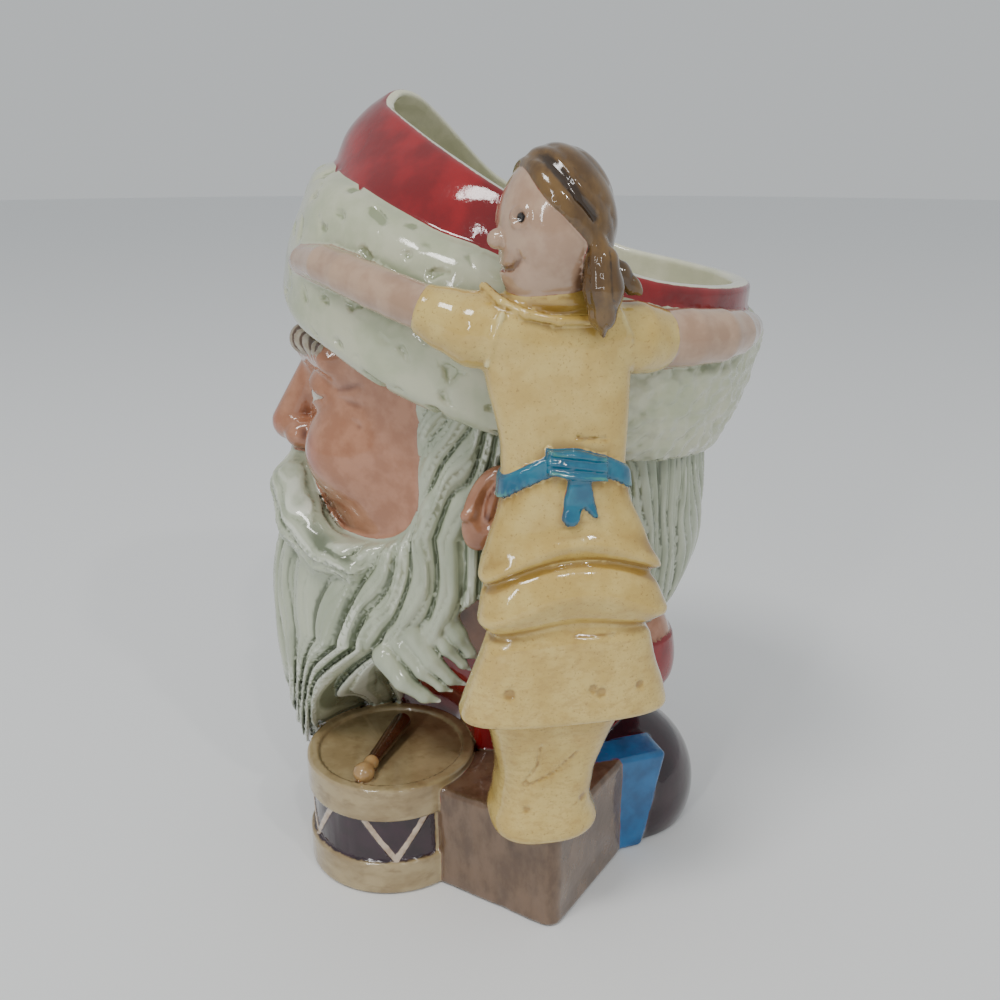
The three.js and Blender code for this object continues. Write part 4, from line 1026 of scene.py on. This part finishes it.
class Nodes:
    """Builds shader nodes. Its methods return output sockets."""

    def __init__(self, tree):
        self.tree = tree
        place = self.add("ShaderNodeTexCoord").outputs["Object"]
        scaled = self.add("ShaderNodeVectorMath", {0: place, 1: (1 / MM,) * 3}, operation="MULTIPLY")
        self.place = scaled.outputs[0]
        self.height = self.add("ShaderNodeSeparateXYZ", {0: self.place}).outputs["Z"]

    def add(self, kind, inputs=None, **settings):
        made = self.tree.nodes.new(kind)
        for name, value in settings.items():
            setattr(made, name, value)
        for key, value in (inputs or {}).items():
            if isinstance(value, bpy.types.NodeSocket):
                self.tree.links.new(value, made.inputs[key])
            else:
                made.inputs[key].default_value = value
        return made

    def value(self, name):
        return self.add("ShaderNodeAttribute", attribute_name=name).outputs["Fac"]

    def noise(self, size, detail=3, stretch=(1, 1, 1), roughness=0.55, shift=0):
        """Noise from 0 to 1 with blotches of about that size in millimetres"""
        place = self.add(
            "ShaderNodeMapping",
            {"Vector": self.place, "Scale": tuple(1 / s for s in stretch), "Location": (shift,) * 3})
        made = self.add("ShaderNodeTexNoise", {
            "Vector": place.outputs[0], "Scale": 1 / size, "Detail": detail, "Roughness": roughness})
        return made.outputs["Fac"]

    def step(self, value, start, end):
        made = self.add("ShaderNodeMapRange", {
            "Value": value, "From Min": start, "From Max": end}, interpolation_type="SMOOTHSTEP")
        return made.outputs["Result"]

    def crevice(self, start, end):
        """Rises from 0 to 1 towards the crevices, or towards the edges where both are negative"""
        return self.step(self.value("crevice"), start, end)

    def calc(self, operation, a, b):
        return self.add("ShaderNodeMath", {0: a, 1: b}, operation=operation).outputs[0]

    def times(self, a, b):
        return self.calc("MULTIPLY", a, b)

    def blend(self, a, b, share):
        made = self.add("ShaderNodeMix", {0: share, 6: a, 7: b}, data_type="RGBA")
        return made.outputs[2]

    def patchy(self, a, b, size, **more):
        """Two colours in soft patches"""
        return self.blend(a, b, self.step(self.noise(size, **more), 0.35, 0.65))


def fur_paint(n):
    base = n.patchy(srgb(190, 192, 166), srgb(174, 180, 150), 9)
    # Painted shade: a darker green-grey laid into the dents of the fur
    return n.blend(base, srgb(142, 150, 118), n.crevice(0.05, 0.7))


def hair_paint(n):
    base = n.patchy(srgb(178, 184, 162), srgb(158, 166, 142), 7, stretch=(1, 1, 3))
    # Painted shade: darker grey-green laid into the crevices between the locks
    shaded_hair = n.blend(base, srgb(104, 112, 90), n.crevice(0.1, 1.1))
    # Painted highlight: a paler cream along the tops of the locks
    return n.blend(shaded_hair, srgb(208, 212, 196), n.crevice(-0.1, -0.7))


def red_paint(n):
    base = n.patchy(srgb(146, 14, 22), srgb(116, 6, 14), 12)
    # Paler red along the sharp edges of cap and coat, partly wear and partly painted highlight
    wear_and_highlight = n.crevice(-0.4, -1.1)
    return n.blend(base, srgb(160, 52, 54), wear_and_highlight)


def skin_paint(n):
    base = n.patchy(srgb(176, 124, 96), srgb(158, 106, 78), 5)
    rosy = n.blend(base, srgb(160, 70, 62), n.times(n.step(n.value("rosy"), 0, 1), 0.75))
    # Painted shade: darker brown in the creases of the face
    return n.blend(rosy, srgb(112, 66, 48), n.crevice(0.1, 0.8))


def dress_paint(n):
    base = n.patchy(srgb(208, 182, 108), srgb(194, 164, 88), 8)
    brushed = n.noise(1.2, detail=4, stretch=(2, 2, 1), roughness=0.7)
    low = n.step(n.height, 100, 74)
    amount = n.calc("ADD", 0.16, n.times(low, 0.28))
    streaks = n.times(n.step(brushed, 0.44, 0.66), amount)
    base = n.blend(base, srgb(170, 134, 70), streaks)
    specks = n.noise(0.55, detail=3, shift=31)
    base = n.blend(base, srgb(136, 98, 48), n.times(n.step(specks, 0.58, 0.72), 0.5))
    # Painted highlight: a paler yellow along the sharp edges of the dress
    base = n.blend(base, srgb(226, 212, 152), n.crevice(-0.2, -0.9))
    # Painted shade: darker ochre in the folds and crevices of the dress
    base = n.blend(base, srgb(150, 116, 52), n.times(n.crevice(0.06, 0.6), 0.8))
    return n.blend(base, srgb(140, 104, 50), n.times(n.step(n.value("marks"), 0.3, -0.4), 0.6))


def doll_skin_paint(n):
    base = n.patchy(srgb(182, 152, 128), srgb(164, 132, 108), 6)
    # Painted shade: darker brown in the creases of the doll's face and arms
    base = n.blend(base, srgb(120, 88, 66), n.crevice(0.12, 0.8))
    return n.blend(base, srgb(22, 16, 12), n.step(n.value("doll_pupil"), 1.05, 0.8))


def doll_hair_paint(n):
    base = n.patchy(srgb(112, 84, 44), srgb(82, 58, 28), 5, stretch=(1, 1, 2))
    # Painted shade: near-black brown in the crevices of the hair
    return n.blend(base, srgb(48, 32, 14), n.crevice(0.08, 0.6))


def ribbon_paint(n):
    base = n.patchy(srgb(28, 108, 134), srgb(20, 88, 118), 5)
    # Painted highlight: a paler blue-green along the sharp edges of the ribbon
    return n.blend(base, srgb(70, 138, 128), n.crevice(-0.5, -1.3))


def drum_paint(n):
    base = n.patchy(srgb(168, 150, 112), srgb(146, 126, 90), 5, stretch=(2, 2, 1))
    smeared = n.noise(2.4, detail=4, stretch=(2, 2, 1), shift=7)
    base = n.blend(base, srgb(124, 102, 70), n.times(n.step(smeared, 0.5, 0.7), 0.5))
    # Painted shade: darker brown in the crevices beside the hoops
    return n.blend(base, srgb(98, 76, 50), n.crevice(0.5, 1.7))


def box_paint(n):
    streaks = n.noise(5, detail=5, stretch=(1, 1, 2), roughness=0.6)
    base = n.blend(srgb(114, 90, 70), srgb(88, 66, 48), n.step(streaks, 0.35, 0.68))
    # Painted highlight: a pale tan along the sharp edges of the box
    return n.blend(base, srgb(190, 168, 140), n.crevice(-0.7, -1.3))


def cream_paint(n):
    base = n.patchy(srgb(222, 220, 196), srgb(206, 206, 178), 10)
    # Painted shade: a darker olive in the hollows, deepest inside the mouth of the jug
    return n.blend(base, srgb(150, 152, 112), n.crevice(0.1, 0.8))


def brow_paint(n):
    base = n.patchy(srgb(168, 160, 142), srgb(140, 124, 104), 3)
    # Painted shade: dark brown between the tufts of the brows
    return n.blend(base, srgb(82, 62, 48), n.crevice(0.02, 0.6))


def two_tone(first, second, size):
    return lambda n: n.patchy(srgb(*first), srgb(*second), size)


def plain(*colour):
    return two_tone(colour, [value * 0.88 for value in colour], 4)


# In the order that they are laid on. Each has a mask of the same name, positive inside its edge.
PAINTS = {
    "face": skin_paint, "lip": plain(166, 84, 74), "hair": hair_paint, "brow": brow_paint,
    "eye_white": plain(214, 206, 190), "iris": plain(70, 92, 96), "pupil": plain(20, 16, 14),
    "fur": fur_paint, "red": red_paint, "drum": drum_paint,
    "plum": two_tone((48, 24, 38), (34, 16, 26), 5),
    "cord": two_tone((196, 178, 158), (170, 148, 126), 3),
    "shaft": plain(72, 44, 26), "tip": plain(176, 140, 92), "box": box_paint,
    "block": two_tone((14, 100, 156), (8, 80, 130), 6), "ball": two_tone((44, 16, 26), (28, 10, 18), 8),
    "dress": dress_paint, "arms": doll_skin_paint, "doll_hair": doll_hair_paint,
    "sash": ribbon_paint, "inside": cream_paint,
}


# The forms that a paint covers, where it doesn't cover just the form of its own name
COVERS = {
    "face": ["face", "ear", "neck"], "hair": ["hair", "moustache"], "red": ["crown", "coat"],
    "arms": ["arms", "doll_face"],
}
# The cream glaze starts this far in from the crown's outside, and this far off the cavity
CREAM_EDGE = 0.7
CREAM_REACH = 1.8


def claims(distances, cavity):
    """For each paint, how far inside its own area a point lies, negative outside"""
    nearest = {}
    for paint in PAINTS:
        names = COVERS.get(paint, [paint])
        if names[0] in distances:
            nearest[paint] = np.minimum.reduce([distances[name] for name in names])
    masks = {}
    for paint, own in nearest.items():
        others = np.minimum.reduce([nearest[other] for other in nearest if other != paint])
        masks[paint] = others - own
    doll = np.maximum.reduce([masks[name] for name in ("dress", "arms", "doll_hair", "sash")])
    within = np.maximum(-CREAM_EDGE - distances["crown"], CREAM_REACH - cavity)
    masks["inside"] = np.minimum(within, 2 - doll * 4)
    return masks


# Rosy places on the face: [to the side, forward, up, size]
ROSY = [[20, -42, 107, 9], [0, -57, 110, 6]]
PANEL_END = 26                        # degrees round the drum where its painted panel meets the box
CREVICE_NEAR = 0.9                    # how far off the surface the field is read to find crevices
CREVICE_WIDE = 3.0


def surface_values(points, normals):
    """The masks of the paints, and what else the shader reads at each point"""
    x, y, z = points.T
    head_x, head_y = turned(x, y, HEAD_TURN)
    distances = region_distances(x, y, z)
    cavity = cavity_loft(head_x, head_y, z)
    bare = z > COLLAR_TOP
    distances["neck"] = np.where(bare, distances["coat"], FAR)
    distances["coat"] = np.where(bare, FAR, distances["coat"])
    values = claims(distances, cavity)
    side = np.abs(head_x)
    ball_distance = length(side - EYE["x"], head_y - EYE["y"], z - EYE["z"]) - EYE["radius"]
    gaze = length(side - EYE["x"], z - EYE["z"])
    front = np.where(head_y < EYE["y"], 0, 9)
    values["eye_white"] = np.minimum(0.3 - ball_distance, 0.35 + eye_lids(side, head_y, z)) - front
    values["iris"] = np.minimum(EYE["iris"] - gaze, values["eye_white"])
    values["pupil"] = np.minimum(EYE["pupil"] - gaze, values["eye_white"])
    turn = np.degrees(np.arctan2(y - DRUM["y"], x - DRUM["x"]))
    hoop = DRUM["hoop_height"]
    panel = np.minimum(np.minimum(z - hoop, DRUM["height"] - hoop - z), (PANEL_END - turn) * 0.33)
    panel = np.where(length(x - DRUM["x"], y - DRUM["y"]) > DRUM["radius"] - 1, panel, -9)
    values["plum"] = np.minimum(panel, values["drum"])
    values["cord"] = np.minimum(DRUM["cord_width"] - drum_cords(x, y, z), values["plum"])
    rosy = [length(side - sx, head_y - sy, z - sz) / size for sx, sy, sz, size in ROSY]
    values["rosy"] = 1 - np.minimum.reduce(rosy)
    doll_x, doll_y, doll_z = head_place(x, y, z)
    values["doll_pupil"] = np.where(doll_y < 0, off_eye(np.abs(doll_x), doll_y, doll_z), 9)
    values["marks"] = np.where(x > 54, dress_marks(x, y, z), 9)
    # How hollow or sharp the surface is at each point: the paints lay painted shade into the hollows and
    # painted highlights along the sharp edges by it
    close = 1 - evaluate(points + normals * CREVICE_NEAR) / CREVICE_NEAR
    broad = 1 - evaluate(points + normals * CREVICE_WIDE) / CREVICE_WIDE
    under = evaluate(points - normals * CREVICE_NEAR) / CREVICE_NEAR + 1
    values["crevice"] = np.clip(0.6 * close + 0.4 * broad - 1.4 * under, -2, 2)
    return values


def make_glaze():
    material = bpy.data.materials.new("glazed_earthenware")
    material.use_nodes = True
    tree = material.node_tree
    n = Nodes(tree)
    shader = tree.nodes["Principled BSDF"]
    wobble = n.times(n.calc("SUBTRACT", n.noise(2.5), 0.5), 0.5)
    colour = red_paint(n)
    for name, paint in PAINTS.items():
        mask = n.step(n.calc("ADD", n.value(name), wobble), -CRISP, CRISP)
        colour = n.blend(colour, paint(n), mask)
    tree.links.new(colour, shader.inputs["Base Color"])
    tree.links.new(n.step(n.noise(14), -0.2, 3.4), shader.inputs["Roughness"])
    shader.inputs["IOR"].default_value = 1.52
    shader.inputs["Coat Weight"].default_value = 0.5
    shader.inputs["Coat Roughness"].default_value = 0.03
    waves = n.noise(4, detail=2)
    grain = n.times(n.noise(0.9, detail=3, shift=13), 0.2)
    bump = n.add("ShaderNodeBump", {
        "Height": n.calc("ADD", waves, grain), "Strength": 1.0, "Distance": 0.12 * MM})
    tree.links.new(bump.outputs["Normal"], shader.inputs["Normal"])
    return material


def dress_mesh(piece):
    """Exact normals from the field, and the values that the shader reads"""
    mesh = piece.data
    points = np.empty(3 * len(mesh.vertices))
    mesh.vertices.foreach_get("co", points)
    points = points.reshape(-1, 3) / MM
    slope = gradient(points, 0.16)
    normals = slope / np.maximum(np.linalg.norm(slope, axis=1, keepdims=True), 1e-9)
    flat = points[:, 2] < 0.01
    normals[flat] = (0, 0, -1)
    for name, values in surface_values(points, normals).items():
        layer = mesh.attributes.new(name, "FLOAT", "POINT")
        layer.data.foreach_set("value", values.astype(np.float32))
    mesh.polygons.foreach_set("use_smooth", np.ones(len(mesh.polygons), bool))
    mesh.normals_split_custom_set_from_vertices(normals)


def make_jug():
    piece = bpy.data.objects.new("glazed_jug", make_casting_mesh())
    bpy.context.scene.collection.objects.link(piece)
    thin_out(piece, TRIANGLES)
    dress_mesh(piece)
    piece.data.materials.append(make_glaze())
    return piece


jug = make_jug()
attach(jug, "root")
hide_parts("jug")
